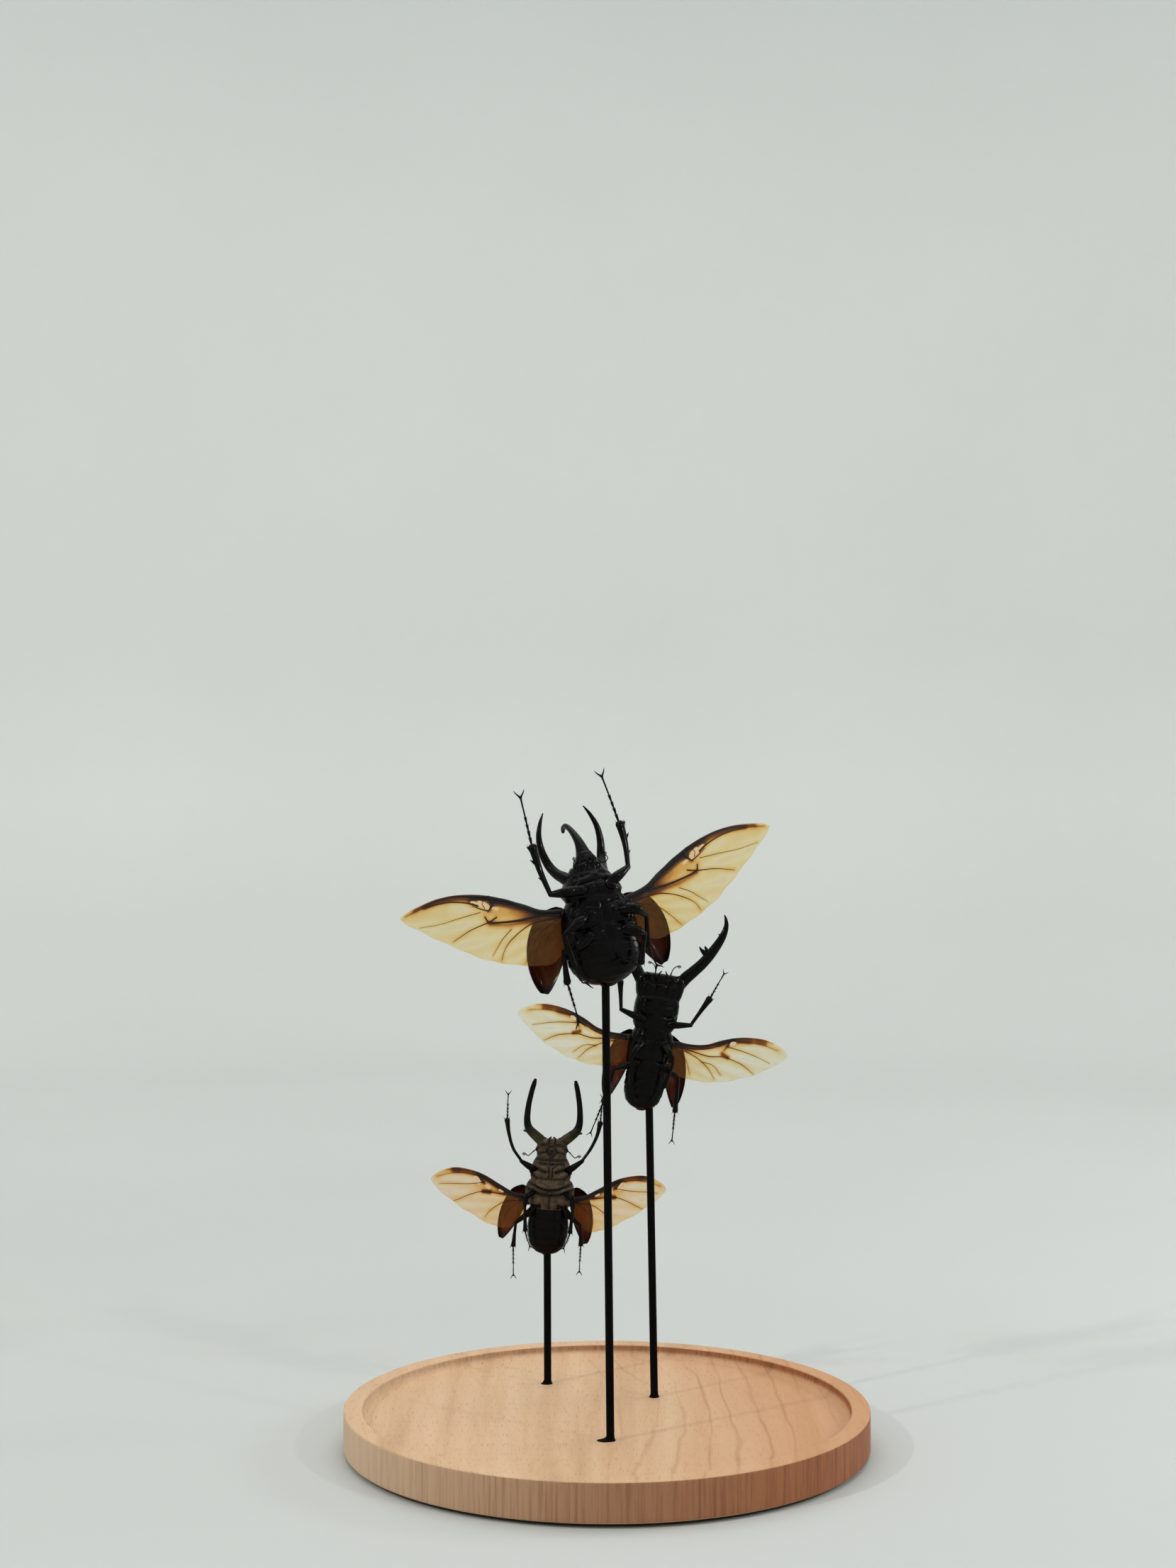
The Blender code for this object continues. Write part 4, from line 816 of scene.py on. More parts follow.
def rod_black():
    """Satin black paint with faint orange peel; tint 1 is the glue at the foot."""
    n = Nodes("rod_black")
    patch = n.noise(240, (1.0, 1.0, 0.2), detail=5)
    paint = n.ramp(patch, [(0.3, (0.0016, 0.0016, 0.0017)), (0.7, (0.0036, 0.0036, 0.0038))])
    colour = n.mix(n.tint(), paint, (0.002, 0.002, 0.002))
    normal = n.bump(n.noise(1500), 0.00005, 0.6)
    rough = n.vary(0.42, 0.62, 600)
    return n.finish(colour, rough, normal, Specular_IOR_Level=0.03)


MATERIALS = {
    "beech": beech(),
    "felt": felt(),
    "rod_black": rod_black(),
    "black_cuticle": cuticle("black_cuticle", (0.0006, 0.0005, 0.0005), (0.0024, 0.0018, 0.0016),
                             (0.016, 0.008, 0.004), (0.13, 0.27), 0.045, 0.09),
    "bronze_cuticle": cuticle("bronze_cuticle", (0.022, 0.019, 0.009), (0.060, 0.052, 0.026),
                              (0.0016, 0.0014, 0.0012), (0.22, 0.38), 0.06, 0.05),
    "downy_cuticle": downy(),
}
for owner in BEETLES:
    for part, make, look in (("wing_", wing_membrane, "film"), ("elytron_", elytron_brown, "shell")):
        MATERIALS[part + owner["name"]] = make(part + owner["name"], owner[look])


# ---------------------------------------------------------------- stand
def arc(centre, radius, start, end, steps):
    """Points on an arc, by angle in degrees."""
    turn = np.radians(np.linspace(start, end, steps + 1))
    return [(centre[0] + radius * math.cos(a), centre[1] + radius * math.sin(a)) for a in turn]


def turned(profile, steps):
    """Grid of points of a profile of (radius, height) turned about the z axis."""
    turn = circle(steps)
    r, z = np.array(profile).T
    return np.stack([r[:, None] * np.cos(turn), r[:, None] * np.sin(turn),
                     z[:, None] * np.ones(steps)], axis=-1)


def disc_size(node):
    """Radius, top and bottom of a round CAD node on the z axis."""
    low, high = (np.array(corner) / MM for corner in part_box(node))
    return (high[0] - low[0]) / 2, high[2], low[2]


def make_tray():
    """Turned tray: its profile runs over the recess, cove, rim, wall and underside."""
    radius, top, bottom = disc_size("tray")
    floor, inner = top - RECESS_DEPTH, radius - RIM_WIDTH
    profile = [(AXIS_GAP + k * (inner - COVE_RADIUS - AXIS_GAP) / 24, floor) for k in range(24)]
    profile += arc((inner - COVE_RADIUS, floor + COVE_RADIUS), COVE_RADIUS, -90, -6, 12)
    profile += arc((inner + EDGE_ROUND, top - EDGE_ROUND), EDGE_ROUND, 180, 90, 5)
    profile += [(inner + k * RIM_WIDTH / 5, top) for k in range(1, 5)]
    profile += arc((radius - EDGE_ROUND, top - EDGE_ROUND), EDGE_ROUND, 90, 0, 5)
    profile += [(radius, bottom + k * (top - bottom) / 8) for k in range(7, 0, -1)]
    profile += arc((radius - EDGE_ROUND, bottom + EDGE_ROUND), EDGE_ROUND, 0, -90, 5)
    profile += [(k * radius / 6, bottom) for k in range(5, 0, -1)] + [(AXIS_GAP, bottom)]
    shape = Shape()
    shape.skin(turned(profile, TURNED_STEPS))
    shape.build("tray", "beech", sharp=60)


def make_pad():
    """Thin pad with eased edges."""
    radius, top, bottom = disc_size("felt_pad")
    profile = [(AXIS_GAP, top)] + [(k * radius / 6, top) for k in range(1, 6)]
    profile += arc((radius - PAD_EDGE, top - PAD_EDGE), PAD_EDGE, 90, 0, 4)
    profile += arc((radius - PAD_EDGE, bottom + PAD_EDGE), PAD_EDGE, 0, -90, 4)
    profile += [(k * radius / 6, bottom) for k in range(5, 0, -1)] + [(AXIS_GAP, bottom)]
    shape = Shape()
    shape.skin(turned(profile, TURNED_STEPS))
    shape.build("felt_pad", "felt", sharp=60)


def node_points(node):
    """The CAD node's corners, in millimetres."""
    return np.array([v.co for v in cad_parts[node].data.vertices], float) / MM


def make_rod(beetle):
    """Painted rod with an eased top and a flare of glue on the tray floor."""
    name = "rod_" + beetle["name"]
    points = node_points(name)
    middle = (points[:, 2].min() + points[:, 2].max()) / 2
    low = points[points[:, 2] < middle].mean(0)
    high = points[points[:, 2] > middle].mean(0)
    radius = np.ptp(points[points[:, 2] < middle][:, 1]) / 2
    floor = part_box("tray")[1].z / MM - RECESS_DEPTH
    along = unit(high - low)
    foot = low + along * (floor - low[2]) / along[2]
    start = foot - along * ROD_SINK_SHOWN
    rows = [np.append(start + (high - start) * t, radius) for t in np.linspace(0, 1, 40)]
    shape = Shape()
    shape.tube(rows, sides=32, rounded=(False, True))
    turn = circle(GLUE_STEPS)
    lobes = GLUE_WIDTH + 0.12 * np.sin(3 * turn + 1)
    lobes = lobes + beetle["glue"] * np.maximum(0, -np.cos(turn)) ** 2.5
    grid = []
    for t in np.linspace(0, 1, 12):
        reach = radius + GLUE_LIFT + (1 - t) ** 2.2 * lobes
        grid.append(np.stack([foot[0] + reach * np.cos(turn), foot[1] + reach * np.sin(turn),
                              np.full(GLUE_STEPS, floor + t * GLUE_HEIGHT + GLUE_LIFT)], axis=-1))
    skirt = grid[0].copy()
    skirt[:, 2] = floor - 0.4
    shape.skin(np.array([skirt] + grid), tint=1.0)
    shape.build(name, "rod_black")


# ---------------------------------------------------------------- beetles
def beetle_frame(beetle):
    """The beetle's own frame, in metres, found on the CAD abdomen."""
    turn = (Matrix.Rotation(math.radians(beetle["lean"]), 4, "Y")
            @ Matrix.Rotation(math.radians(beetle["yaw"]), 4, "Z"))
    local = node_points(beetle["name"] + "_abdomen") @ np.array(turn)[:3, :3]
    low, high = local.min(0), local.max(0)
    start = np.array([(low[0] + high[0]) / 2, (low[1] + high[1]) / 2, low[2]])
    anchor = np.array(turn)[:3, :3] @ start
    return Matrix.Translation(Vector(anchor * MM)) @ turn


def plate_relief(z, cuts, step):
    """Saw-tooth relief of overlapping plates, highest at each plate's lower edge."""
    push = np.zeros_like(z)
    for low, high in zip(cuts, cuts[1:]):
        share = (z - low) / (high - low)
        push += np.where((share >= 0) & (share < 1), step * (0.62 - share), 0)
    return push


def lofted(shape, sections, squareness, relief=None, tint=None, steps=12, ring=84,
           blunt=(0.3, 0.3)):
    """Oval body skin with domed ends; relief and tint are functions of (x, z, turn).

    Sections are read tail to head; blunt is how domed each end is.  Gives the skin's points and
    the directions out of it.
    """
    rows = smooth_path(sections, steps)
    caps = []
    for at, sign, power in ((0, -1, blunt[0]), (-1, 1, blunt[1])):
        z, width, depth, middle = rows[at]
        bulge = (0.1 + 0.3 * power) * min(width, depth)
        caps.append([(z + sign * bulge * math.sin(a), width * math.cos(a) ** power,
                      depth * math.cos(a) ** power, middle)
                     for a in np.radians((22, 44, 64, 80, 89))])
    rows = np.vstack([caps[0][::-1], rows, caps[1]])
    turn = np.tile(circle(ring), (len(rows), 1))
    corner = 2 / squareness
    across = np.sign(np.cos(turn)) * np.abs(np.cos(turn)) ** corner
    along = np.sign(np.sin(turn)) * np.abs(np.sin(turn)) ** corner
    z = np.tile(rows[:, 0:1], ring)
    x, y = rows[:, 1:2] * across, rows[:, 3:4] + rows[:, 2:3] * along
    out = unit(np.stack([across / rows[:, 1:2], along / rows[:, 2:3]], axis=-1))
    fade = np.ones((len(rows), 1))
    fade[:3], fade[-3:] = 0, 0
    push = relief(x, z, turn) * fade if relief else 0 * x
    grid = np.stack([x + out[..., 0] * push, y + out[..., 1] * push, z], axis=-1)
    shape.skin(grid, tint=tint(x, z, turn) if tint else 0.0)
    return grid, np.concatenate([out, np.zeros_like(out[..., :1])], axis=-1)


def on_side(turn, sign):
    """1 on the back (sign 1) or on the underside (sign -1), 0 on the other."""
    return np.clip(sign * np.sin(turn) * 3, 0, 1)


def body_relief(beetle, piece):
    """Relief of a body piece: plates or lobes, a seam along the back, grooves underneath."""
    def relief(x, z, turn):
        under, back = on_side(turn, -1), on_side(turn, 1)
        push = 0.05 * np.sin(x * 1.9 + z * 0.6) * np.sin(z * 1.7)
        if piece == "abdomen":
            push = push + plate_relief(z, beetle["plates"], beetle["plate_step"])
            push = push - 0.22 * hump(np.abs(np.sin(turn)) - 0.2, 0.10)
            push = push - 0.25 * back * hump(x, 1.6)
        for line, depth, width in beetle["grooves"].get(piece, []):
            push = push - under * depth * hump(distance_to_line(np.abs(x), z, line), width)
        if piece in ("hind_thorax", "prothorax"):
            push = push - 0.5 * back * hump(x, 0.7)
        if piece == "hind_thorax":
            push = push + 0.5 * back * hump(np.abs(x) / beetle[piece][2][1] - 0.5, 0.16)
        return push
    return relief


def abdomen_tint(beetle):
    """Brown towards the flanks, and brown plates with dark joints on the back."""
    def tint(x, z, turn):
        flank = beetle["flank"] * hump(np.sin(turn), 0.14)
        joint = np.min([np.abs(z - cut) for cut in beetle["plates"]], axis=0)
        back = on_side(turn, 1) * (1 - hump(joint, 0.5))
        return np.clip(np.maximum(flank, 0.85 * back), 0, 1)
    return tint


def down_tint(beetle, piece):
    """Downy underneath; hairless and dark on the back, and darkened in and around the grooves as painted
    shade.
    """
    def tint(x, z, turn):
        bare_back_and_groove_shade = 0.75 * np.clip(np.sin(turn) * 4 + 0.6, 0, 1)
        # painted shade in the creases: the grooves are darkened though down still grows in them
        for line, _, width in beetle["grooves"].get(piece, []):
            bare_back_and_groove_shade = np.maximum(bare_back_and_groove_shade, hump(distance_to_line(np.abs(x), z, line), 1.5 * width))
        return np.clip(0.55 - 0.75 * bare_back_and_groove_shade, 0, 1)
    return tint


def add_down(shape, grid, out):
    """Down on the underside and flanks, combed towards the tail."""
    rows, columns = grid.shape[:2]
    row = RANDOM.integers(5, rows - 5, DOWN_COUNT)
    column = RANDOM.integers(0, columns, DOWN_COUNT)
    keep = np.sin(2 * math.pi * column / columns) < 0.5
    row, column = row[keep], column[keep]
    jitter = RANDOM.uniform(0, 1, (len(row), 1))
    roots = grid[row, column] * (1 - jitter) + grid[row - 1, (column + 1) % columns] * jitter
    comb = RANDOM.normal(0, 0.35, (len(row), 3))
    comb[:, 2] -= 1.0
    directions = out[row, column] * 0.55 + comb
    shape.hairs(roots, directions, RANDOM.uniform(0.6, 1.25, len(row)) * DOWN_LENGTH, DOWN_WIDTH,
                tint=0.9)


def add_mouth(shape, beetle):
    """An eye and its beaded palps on each side of the head."""
    x, y, z, radius = beetle["eye"]
    for sign in SIDES.values():
        shape.ball((sign * x, y, z), (radius * 0.8, radius, radius))
        for palp in beetle["palps"]:
            path = smooth_path(palp, 6) * (sign, 1, 1, 1)
            path[:, 3] *= 1 + 0.16 * np.sin(np.linspace(0, 3 * math.pi, len(path))) ** 2
            shape.tube(path, sides=10)


def add_collar(shape, beetle):
    """Raised ring where the prothorax meets the head."""
    z, wide, deep, middle = beetle["prothorax"][-1]
    collar = [(z - 0.9, wide, deep * 1.02, middle), (z, wide * 1.02, deep * 1.04, middle),
              (z + 0.6, wide * 0.96, deep * 0.97, middle)]
    lofted(shape, collar, beetle["squareness"], steps=3, ring=64)


def make_body(beetle, piece, place):
    """One body piece with what grows from it: horns, eyes, palps, collar, pads and down."""
    shape = Shape()
    slot = "black_cuticle" if piece == "abdomen" else beetle["chest"]
    tint = down_tint(beetle, piece) if slot == "downy_cuticle" else None
    if piece == "abdomen":
        tint = abdomen_tint(beetle)
    grid, out = lofted(shape, beetle[piece], beetle["squareness"], body_relief(beetle, piece), tint,
                       blunt=BLUNT_ENDS.get(piece, (0.3, 0.3)))
    for horn in beetle["horns"].get(piece, []):
        for sign in ((1,) if horn[0][0] == 0 else (-1, 1)):
            shape.tube(smooth_path(horn, 9) * (sign, 1, 1, 1), sides=22)
    if piece == "head":
        add_mouth(shape, beetle)
    if piece == "hind_thorax":
        z, wide, deep, middle = beetle[piece][-1]
        shape.ball((0, middle + deep * 0.96, z - wide * 0.12), (wide * 0.22, 0.9, wide * 0.3))
    if piece == "prothorax":
        add_collar(shape, beetle)
    if slot == "downy_cuticle":
        for x, y, z, wide, high, tilt in beetle["pads"].get(piece, []):
            for sign in SIDES.values():
                shape.ball((sign * x, y, z), (wide, 1.5, high), (0, -sign * tilt, 0), tint=0.62)
        add_down(shape, grid, out)
    shape.build(f"{beetle['name']}_{piece}", slot, place)


def make_mandible(beetle, side, place):
    """Jaw: a curved keeled blade, dark towards its tip, with its teeth."""
    sign = SIDES[side]
    shape = Shape()
    blade = smooth_path(beetle["mandible"]["blade"], 8) * (sign, 1, 1, 1)
    share = np.linspace(0, 1, len(blade))
    dark = np.clip((share - 0.20) / 0.25, 0, 0.97) * (beetle["jaw"] == "bronze_cuticle")
    shape.tube(blade, sides=26, flat=0.72, tint=dark, keel=(0.05, 4))
    for tooth in beetle["mandible"]["teeth"]:
        shape.tube(smooth_path(tooth, 6) * (sign, 1, 1, 1), sides=14, flat=0.72)
    shape.build(f"{beetle['name']}_mandible_{side}", beetle["jaw"], place)


def make_antenna(beetle, side, place):
    """Long first joint, a row of beads, and a club of three leaves."""
    sign = SIDES[side]
    path = resample(smooth_path(beetle["antenna"], 10), 60) * (sign, 1, 1)
    share = np.linspace(0, 1, len(path))
    bead = np.where(share < 0.42, 0.28 + 0.10 * hump(share - 0.40, 0.05),
                    0.17 + 0.12 * np.abs(np.sin((share - 0.42) * math.pi * 12)))
    shape = Shape()
    shape.tube(np.column_stack([path, bead]), sides=10)
    tip = unit(path[-1] - path[-6])
    inward = -sign * unit(np.cross(tip, DEPTH_AXIS))
    for k in range(3):
        start = path[-1] - tip * (0.5 - 0.55 * k)
        leaf = [np.append(start + inward * reach + tip * reach * 0.25, radius)
                for reach, radius in CLUB_LEAF]
        shape.tube(smooth_path(leaf, 4), sides=10, flat=0.6)
    shape.build(f"{beetle['name']}_antenna_{side}", "black_cuticle", place)


def sideways(way):
    """Direction square to a limb, in the plane that faces the viewer."""
    return unit(np.cross(way, DEPTH_AXIS))


def add_hips(shape, thigh, pair, sign):
    """Coxa and trochanter at a leg's root."""
    root, radius = np.array(thigh[0][:3], float), thigh[0][3]
    shape.ball(root - np.array((sign * 1.1 * radius, -0.35 * radius, 0)),
               (COXA_WIDTH[pair] * radius, 1.25 * radius, 1.3 * radius), (0, sign * 14, 0))
    shape.ball(root + np.array((sign * 0.9 * radius, -0.45 * radius, -0.1 * radius)),
               (1.15 * radius, 0.95 * radius, 1.0 * radius), (0, sign * 20, 0))


def add_spines(shape, tibia, teeth, sign):
    """Teeth along the tibia and three spurs at its end."""
    line = unit(np.gradient(tibia[:, :3], axis=0))
    outward = sideways(line)
    outward = outward * np.where(outward[:, :1] * sign < 0, -1, 1)
    for at, reach, facing in teeth:
        k = int(at * (len(tibia) - 1))
        base, width = tibia[k, :3], tibia[k, 3]
        way = outward[k] * facing + line[k] * 0.55
        spine = [np.append(base + way * (width * 0.3 + s * reach * 0.6) + line[k] * 0.18 * s ** 2 * reach,
                           max(0.05, w * min(width, reach) * 0.8)) for s, w in SPINE_STEPS]
        shape.tube(smooth_path(spine, 4), sides=10, flat=0.8)
    end, width = tibia[-1, :3], tibia[-1, 3]
    for turn in SPUR_TURNS:
        start = end + outward[-1] * turn * width * 0.8
        way = line[-1] + outward[-1] * turn * 0.5
        spur = [np.append(start + way * s, w)
                for s, w in ((-0.4, 0.24), (0.6, 0.2), (1.4 + width * 0.4, 0.05))]
        shape.tube(smooth_path(spur, 3), sides=8)


def add_toes(shape, toes):
    """Five foot joints, each but the last with a thorn on either side."""
    share = np.linspace(0, 1, len(toes))
    for low, high in zip(TOE_CUTS, TOE_CUTS[1:]):
        part = toes[(share >= low - 1e-6) & (share <= high + 1e-6)].copy()
        inner = np.linspace(0, 1, len(part))
        last = high == TOE_CUTS[-1]
        part[:, 3] *= (0.58 + 0.22 * inner ** 3) if last else (0.56 + 0.42 * inner ** 1.5)
        shape.tube(part, sides=12)
        if last:
            continue
        tip, way = part[-1], unit(part[-1, :3] - part[-3, :3])
        for turn in (-1, 1):
            out = sideways(way) * turn
            thorn = [np.append(tip[:3] + out * tip[3] * 0.5 + (way * 0.8 + out * 0.7) * s, w)
                     for s, w in TOE_THORN]
            shape.tube(smooth_path(thorn, 2), sides=6)


def add_claws(shape, toes, size):
    """Two hooked claws and the bristle between them."""
    fork = toes[-1, :3]
    way = unit(fork - toes[-7, :3])
    out = sideways(way)
    for turn in (-1, 1):
        hook = [np.append(fork + (way * a + out * turn * b) * size, r * size / 3.6)
                for a, b, r in CLAW_HOOK]
        shape.tube(smooth_path(hook, 5), sides=10)
    bristle = [(*(fork + way * s), w) for s, w in ((0, 0.2), (0.5, 0.12), (size * 0.34, 0.05))]
    shape.tube(bristle, sides=8)


def add_leg_hairs(shape, part, start, size):
    """Hairs along a limb from a share of its length."""
    pick = RANDOM.integers(int(start * len(part)), len(part) - 1, LEG_HAIRS)
    ways = unit(np.gradient(part[:, :3], axis=0))[pick]
    lift = unit(np.cross(ways, RANDOM.normal(0, 1, (LEG_HAIRS, 3))))
    length = RANDOM.uniform(0.5, 1.1, LEG_HAIRS) * (0.5 + 0.35 * size / 2.3)
    shape.hairs(part[pick, :3] + lift * part[pick, 3:4] * 0.75, lift * 0.8 + ways * 0.7, length,
                LEG_HAIR_WIDTH, tint=0.6)


def make_leg(beetle, leg, place):
    """Coxa, trochanter, femur, toothed tibia, five-jointed foot and a pair of claws."""
    thigh, shin, foot = beetle["legs"][leg]
    pair, side = leg.split("_")
    sign, claw = SIDES[side], beetle["claw"]
    shape = Shape()
    add_hips(shape, thigh, pair, sign)
    femur = smooth_path(thigh, 9)
    share = np.linspace(0, 1, len(femur))
    femur[:, 3] *= 0.82 + 0.30 * np.sin(math.pi * share ** 0.8)
    shape.tube(femur, sides=18, flat=0.85)
    tibia = smooth_path(shin, 10)
    share = np.linspace(0, 1, len(tibia))
    tibia[:, 3] *= 0.84 + 0.2 * share + 0.12 * hump(share - 1, 0.05)
    shape.tube(tibia, sides=16, flat=0.8, keel=(0.06, 5))
    add_spines(shape, tibia, beetle["teeth"][pair], sign)
    toes = resample(smooth_path(foot, 12), 61)
    add_toes(shape, toes)
    add_claws(shape, toes, claw)
    add_leg_hairs(shape, tibia, 0.25, claw)
    add_leg_hairs(shape, toes, 0.05, claw)
    shape.build(f"{beetle['name']}_leg_{leg}", "black_cuticle", place)


def pleats(u, v):
    """Folds that fan out from the hinge, from -1 to 1."""
    fan = np.arctan2(v + 3.0, u + 14.0)
    return np.sin(fan * PLEAT_COUNT) * np.clip(u / 18.0, 0, 1)


def membrane_depth(u, v):
    """How far the wing film stands out of its plane: camber and pleats."""
    camber = MEMBRANE_CAMBER * (np.clip(u, 0, None) / 60.0) ** 2
    return WING_DEPTH + PLEAT_HEIGHT * pleats(u, v) + camber


def film_tint(beetle, u, v, share):
    """Veins, stains, pale joint patches, a brown front border and painted shade along the pleats; share is
    0 in front, 1 behind.
    """
    # the pleats term paints light and dark streaks along the folds: painted shade and light
    tint = 0.28 * np.exp(-u / 14.0) + 0.035 * pleats(u, v)
    for line, r0, _ in beetle["veins"]:
        near = distance_to_line(u, v, smooth_path(line, 5)[:, :2])
        tint = tint + (0.10 + 0.30 * r0) * hump(near, 0.55 + 1.4 * r0, 1.4)
    for line, width, strength in beetle["stains"]:
        tint = tint + strength * hump(distance_to_line(u, v, smooth_path(line, 6)[:, :2]), width)
    for line, width in beetle["pale_patch"]:
        inside = hump(distance_to_line(u, v, line), width, 3)
        tint = tint * (1 - inside) - 0.25 * inside
    rim = np.exp(-share * 40) * np.clip(beetle["edge"] * (1 - u / u.max()), 0, 1)
    return np.clip(tint + 0.35 * rim + 0.05 * np.exp(-(1 - share) * 50), -0.25, 0.8)


def make_wing(beetle, side, place):
    """Spread hind wing: pleated film between a front and a back edge, with raised veins."""
    sign, span = SIDES[side], beetle["wing_span"][side]
    turn = math.radians(beetle["wing_angle"][side])
    hinge_x, hinge_z = beetle["wing_hinge"]

    def spread(u, v, lift=0.0):
        along = u * span
        return np.stack([sign * (hinge_x + along * math.cos(turn) - v * math.sin(turn)),
                         membrane_depth(u, v) + lift,
                         hinge_z + along * math.sin(turn) + v * math.cos(turn)], axis=-1)

    front = resample(smooth_path(beetle["wing_front"], 16), WING_COLUMNS)
    back = resample(smooth_path(beetle["wing_back"], 16), WING_COLUMNS)
    calm = np.clip((WING_COLUMNS - np.arange(WING_COLUMNS)) / 12, 0, 1)
    back[:, 1] += 0.22 * np.sin(back[:, 0] * 0.55) * calm
    share = np.linspace(0, 1, WING_ROWS)[:, None, None]
    film = front[None] * (1 - share) + back[None] * share
    u, v = film[..., 0], film[..., 1]
    tint = film_tint(beetle, u, v, share[..., 0])
    shape = Shape()
    faces = [spread(u, v, lift) for lift in (-FILM_HALF, FILM_HALF)]
    shape.skin(np.concatenate([faces[0], faces[1][::-1]]).transpose(1, 0, 2),
               tint=np.concatenate([tint, tint[::-1]]).T)
    for line, r0, r1 in beetle["veins"]:
        curve = smooth_path(line, 8)
        radius = np.linspace(r0, r1, len(curve))
        ridge = spread(curve[:, 0], curve[:, 1])
        shape.tube(np.column_stack([ridge, radius]), sides=10, flat=0.8,
                   tint=np.linspace(1.0, 0.72 if r0 < 0.25 else 0.9, len(curve)))
    for u0, v0, size in HINGE_KNOBS:
        size *= 0.6 + 0.4 * hinge_x / ATLAS_HINGE_X
        shape.ball(spread(np.array(u0), np.array(v0)), (size, size * 0.55, size * 0.8),
                   (0, sign * 20, 0), tint=1.0, rows=10, columns=14)
    shape.build(f"{beetle['name']}_wing_{side}", "wing_membrane", place, sharp=70,
                material="wing_" + beetle["name"])


def make_elytron(beetle, side, place):
    """Vaulted wing case with a rolled rim, faint ribs outside and a stepped tip."""
    data = beetle["elytron"]
    sign = SIDES[side]
    root, tip = np.array(data["root"], float), np.array(data["tip"][side], float)
    along = unit(tip - root)
    out = np.array((-along[1], along[0]))
    u = np.linspace(0, 1, ELYTRON_ROWS)[:, None]
    w = np.linspace(0, 1, ELYTRON_COLUMNS)[None, :]
    fullness = np.sin(math.pi * (0.12 + 0.86 * u)) ** 0.6
    fullness = fullness * (0.25 + 0.75 * np.sin(np.clip(u / 0.16, 0, 1) * math.pi / 2) ** 0.7)
    inside = data["inner"] * (1 - data["taper"] * u ** 1.5)
    offset = fullness * (-inside + w * (inside + data["outer"]))
    x = root[0] + (tip - root)[0] * u + out[0] * offset
    z = root[1] + (tip - root)[1] * u + out[1] * offset
    depth = data["depth"] + data["vault"] * np.sin(math.pi * w) * fullness
    rim = np.clip(hump(w, 0.035) + hump(1 - w, 0.035) + hump(1 - u, 0.03), 0, 1)
    ribs = data["ribs"] * np.abs(np.sin(w * math.pi * 9)) * np.sin(math.pi * u)
    half = ELYTRON_HALF + ELYTRON_RIM * rim
    outer = np.stack([sign * x, depth + half + ribs, z], axis=-1)
    inner = np.stack([sign * x, depth - half - 0.3 * ribs, z], axis=-1)
    border = hump(np.minimum(w, 1 - w), 0.15) + hump(1 - u, 0.10)
    tail = np.clip((u - 0.55) / 0.45, 0, 1)
    tint = np.clip(0.5 * rim + 0.55 * border + 0.55 * tail + 1.1 * hump(u, 0.2), 0, 0.97)
    ring = np.concatenate([outer, inner[:, ::-1]], axis=1)
    shape = Shape()
    shape.skin(ring, tint=np.concatenate([tint, tint[:, ::-1]], axis=1))
    shape.build(f"{beetle['name']}_elytron_{side}", "elytron_brown", place, sharp=60,
                material="elytron_" + beetle["name"])


make_tray()
make_pad()
for insect in BEETLES:
    spot = beetle_frame(insect)
    make_rod(insect)
    for body_piece in BODY_PIECES:
        make_body(insect, body_piece, spot)
    for flank in SIDES:
        if insect["jaw"]:
            make_mandible(insect, flank, spot)
        make_antenna(insect, flank, spot)
        make_wing(insect, flank, spot)
        make_elytron(insect, flank, spot)
    for limb in insect["legs"]:
        make_leg(insect, limb, spot)


# ---------------------------------------------------------------- studio
def make_backdrop():
    """Round pale floor that curves up into a wall on every side."""
    profile = [(k * BACKDROP_FLAT / 10 + 1, 0.0) for k in range(10)]
    profile += arc((BACKDROP_FLAT + 1, BACKDROP_BEND), BACKDROP_BEND, -90, 0, 12)
    profile.append((BACKDROP_FLAT + BACKDROP_BEND + 1, BACKDROP_TOP))
    points = turned(profile, BACKDROP_STEPS).reshape(-1, 3) * MM
    faces = [(a + b, a + c, a + BACKDROP_STEPS + c, a + BACKDROP_STEPS + b)
             for a in range(0, len(points) - BACKDROP_STEPS, BACKDROP_STEPS)
             for b, c in zip(range(BACKDROP_STEPS), (*range(1, BACKDROP_STEPS), 0))]
    faces.append(tuple(range(BACKDROP_STEPS - 1, -1, -1)))
    mesh = bpy.data.meshes.new("backdrop")
    mesh.from_pydata(points.tolist(), [], faces)
    mesh.shade_smooth()
    mesh.materials.append(backdrop_paint())
    add_object("backdrop", mesh)


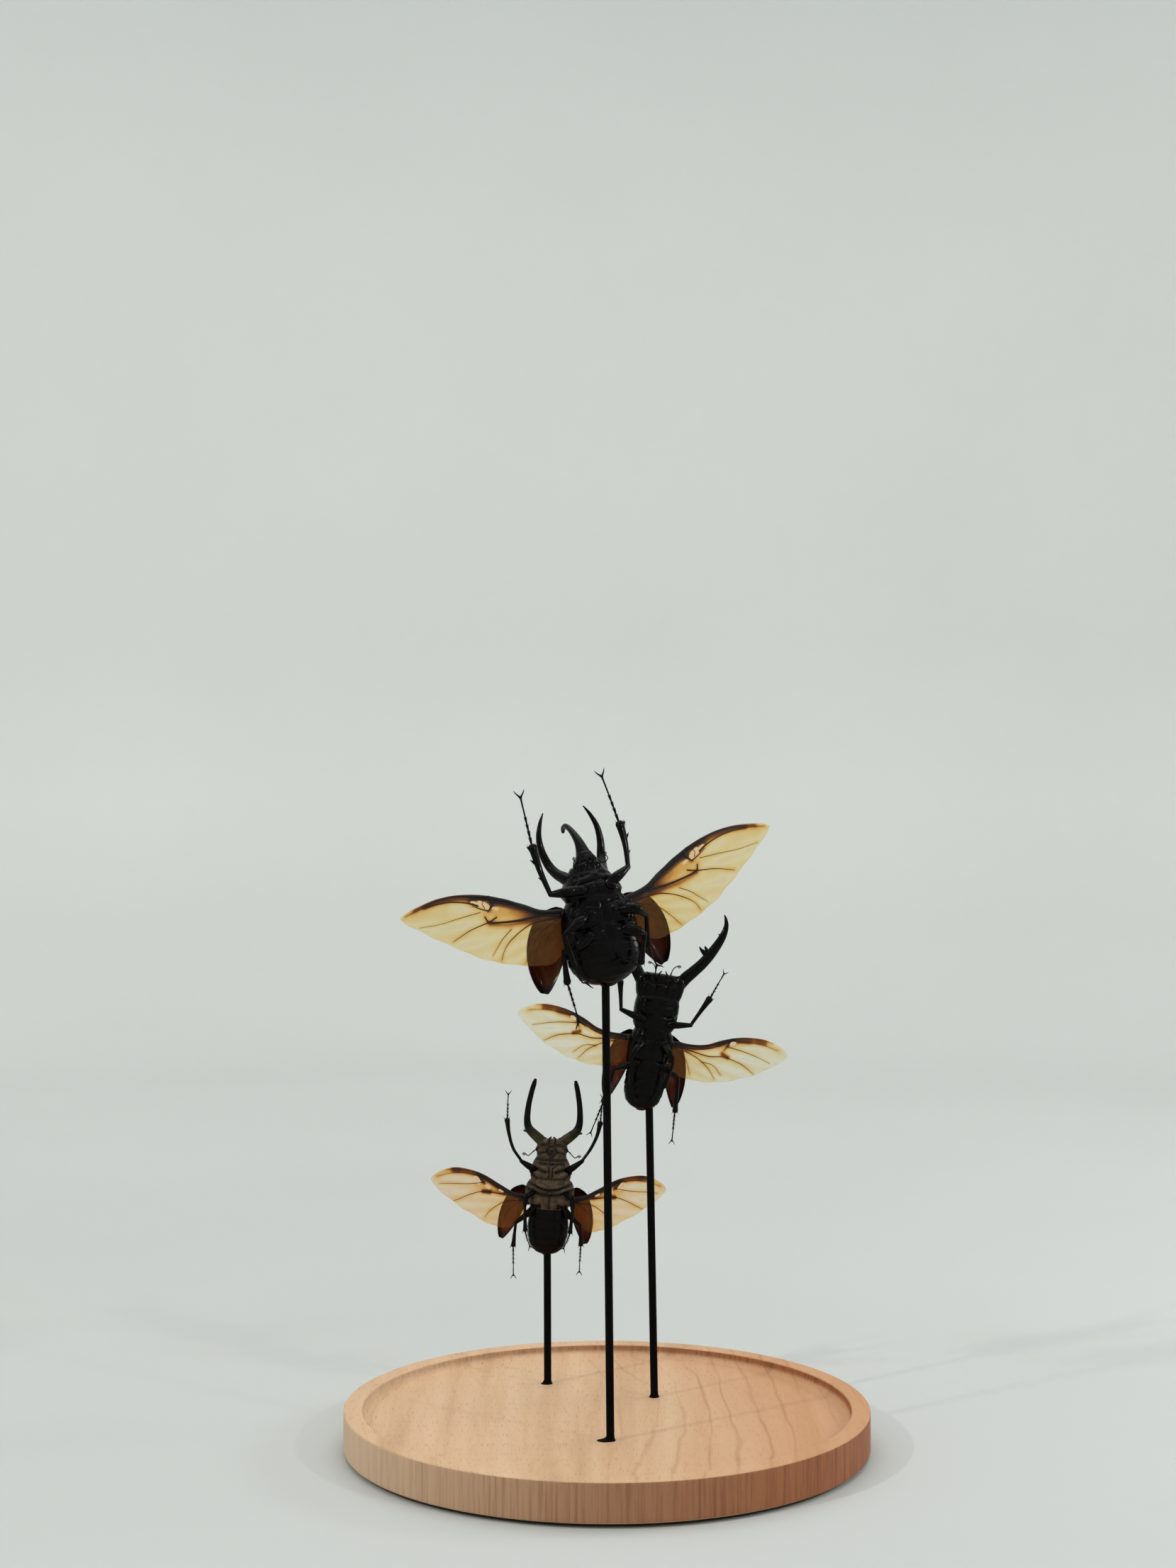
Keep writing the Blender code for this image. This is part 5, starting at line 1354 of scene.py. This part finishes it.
def backdrop_paint():
    """Pale paint, a little darker near the middle, where most of the light falls."""
    n = Nodes("backdrop")
    cloud = n.ramp(n.noise(3, detail=2), [(0.3, (0.806, 0.821, 0.790)), (0.7, (0.826, 0.841, 0.810))])
    x, y, z = n.axes()[:3]
    out = n.math("SQRT", n.plus(n.times(x, x), n.times(y, y)))
    along = n.times(n.plus(out, z), 0.4)
    levels = ((0.12, 0.60), (0.30, 0.66), (0.39, 0.705), (0.51, 0.76), (0.63, 0.795), (0.78, 0.81),
              (0.88, 0.87), (1.0, 0.875))
    shade = n.ramp(along, [(at, (level,) * 3) for at, level in levels])
    colour = n.mix(1.0, cloud, shade, "MULTIPLY")
    normal = n.bump(n.noise(300), 0.0001, 0.2)
    return n.finish(colour, 0.9, normal, Specular_IOR_Level=0.1)


def area_light(name, stand, aim, size, power, colour=(1, 1, 1)):
    """Round lamp that faces a point."""
    data = bpy.data.lights.new(name, "AREA")
    data.shape = "DISK"
    data.size, data.energy, data.color = size, power, colour
    lamp = add_object(name, data)
    lamp.location = stand
    lamp.rotation_euler = (Vector(aim) - Vector(stand)).to_track_quat("-Z", "Y").to_euler()


make_backdrop()
area_light("overhead", (0.0, 0.35, 1.7), (0, 0.1, 0.1), size=1.8, power=11)
area_light("right_window", (1.1, 0.25, 0.55), (0, 0, 0.2), size=0.3, power=3.2)
area_light("front_left", (-1.0, -0.75, 1.0), (0, 0, 0.1), size=0.05, power=5.6,
           colour=(1.0, 0.98, 0.95))
area_light("front_right", (1.0, -0.75, 0.9), (0, 0, 0.1), size=0.05, power=3.0)

world = bpy.data.worlds.new("studio")
bpy.context.scene.world = world
world.use_nodes = True
sky = world.node_tree.nodes["Background"].inputs
sky["Color"].default_value = (0.86, 0.9, 0.92, 1)
sky["Strength"].default_value = 1.0

camera = bpy.data.cameras.new("camera")
camera.sensor_fit = "VERTICAL"
camera.sensor_height = CAMERA_FILM_HEIGHT
camera.lens = CAMERA_LENS
eye = add_object("camera", camera)
eye.location = CAMERA_PLACE
eye.rotation_euler = (math.pi / 2, 0, 0)
bpy.context.scene.camera = eye
bpy.context.scene.view_settings.view_transform = "Standard"
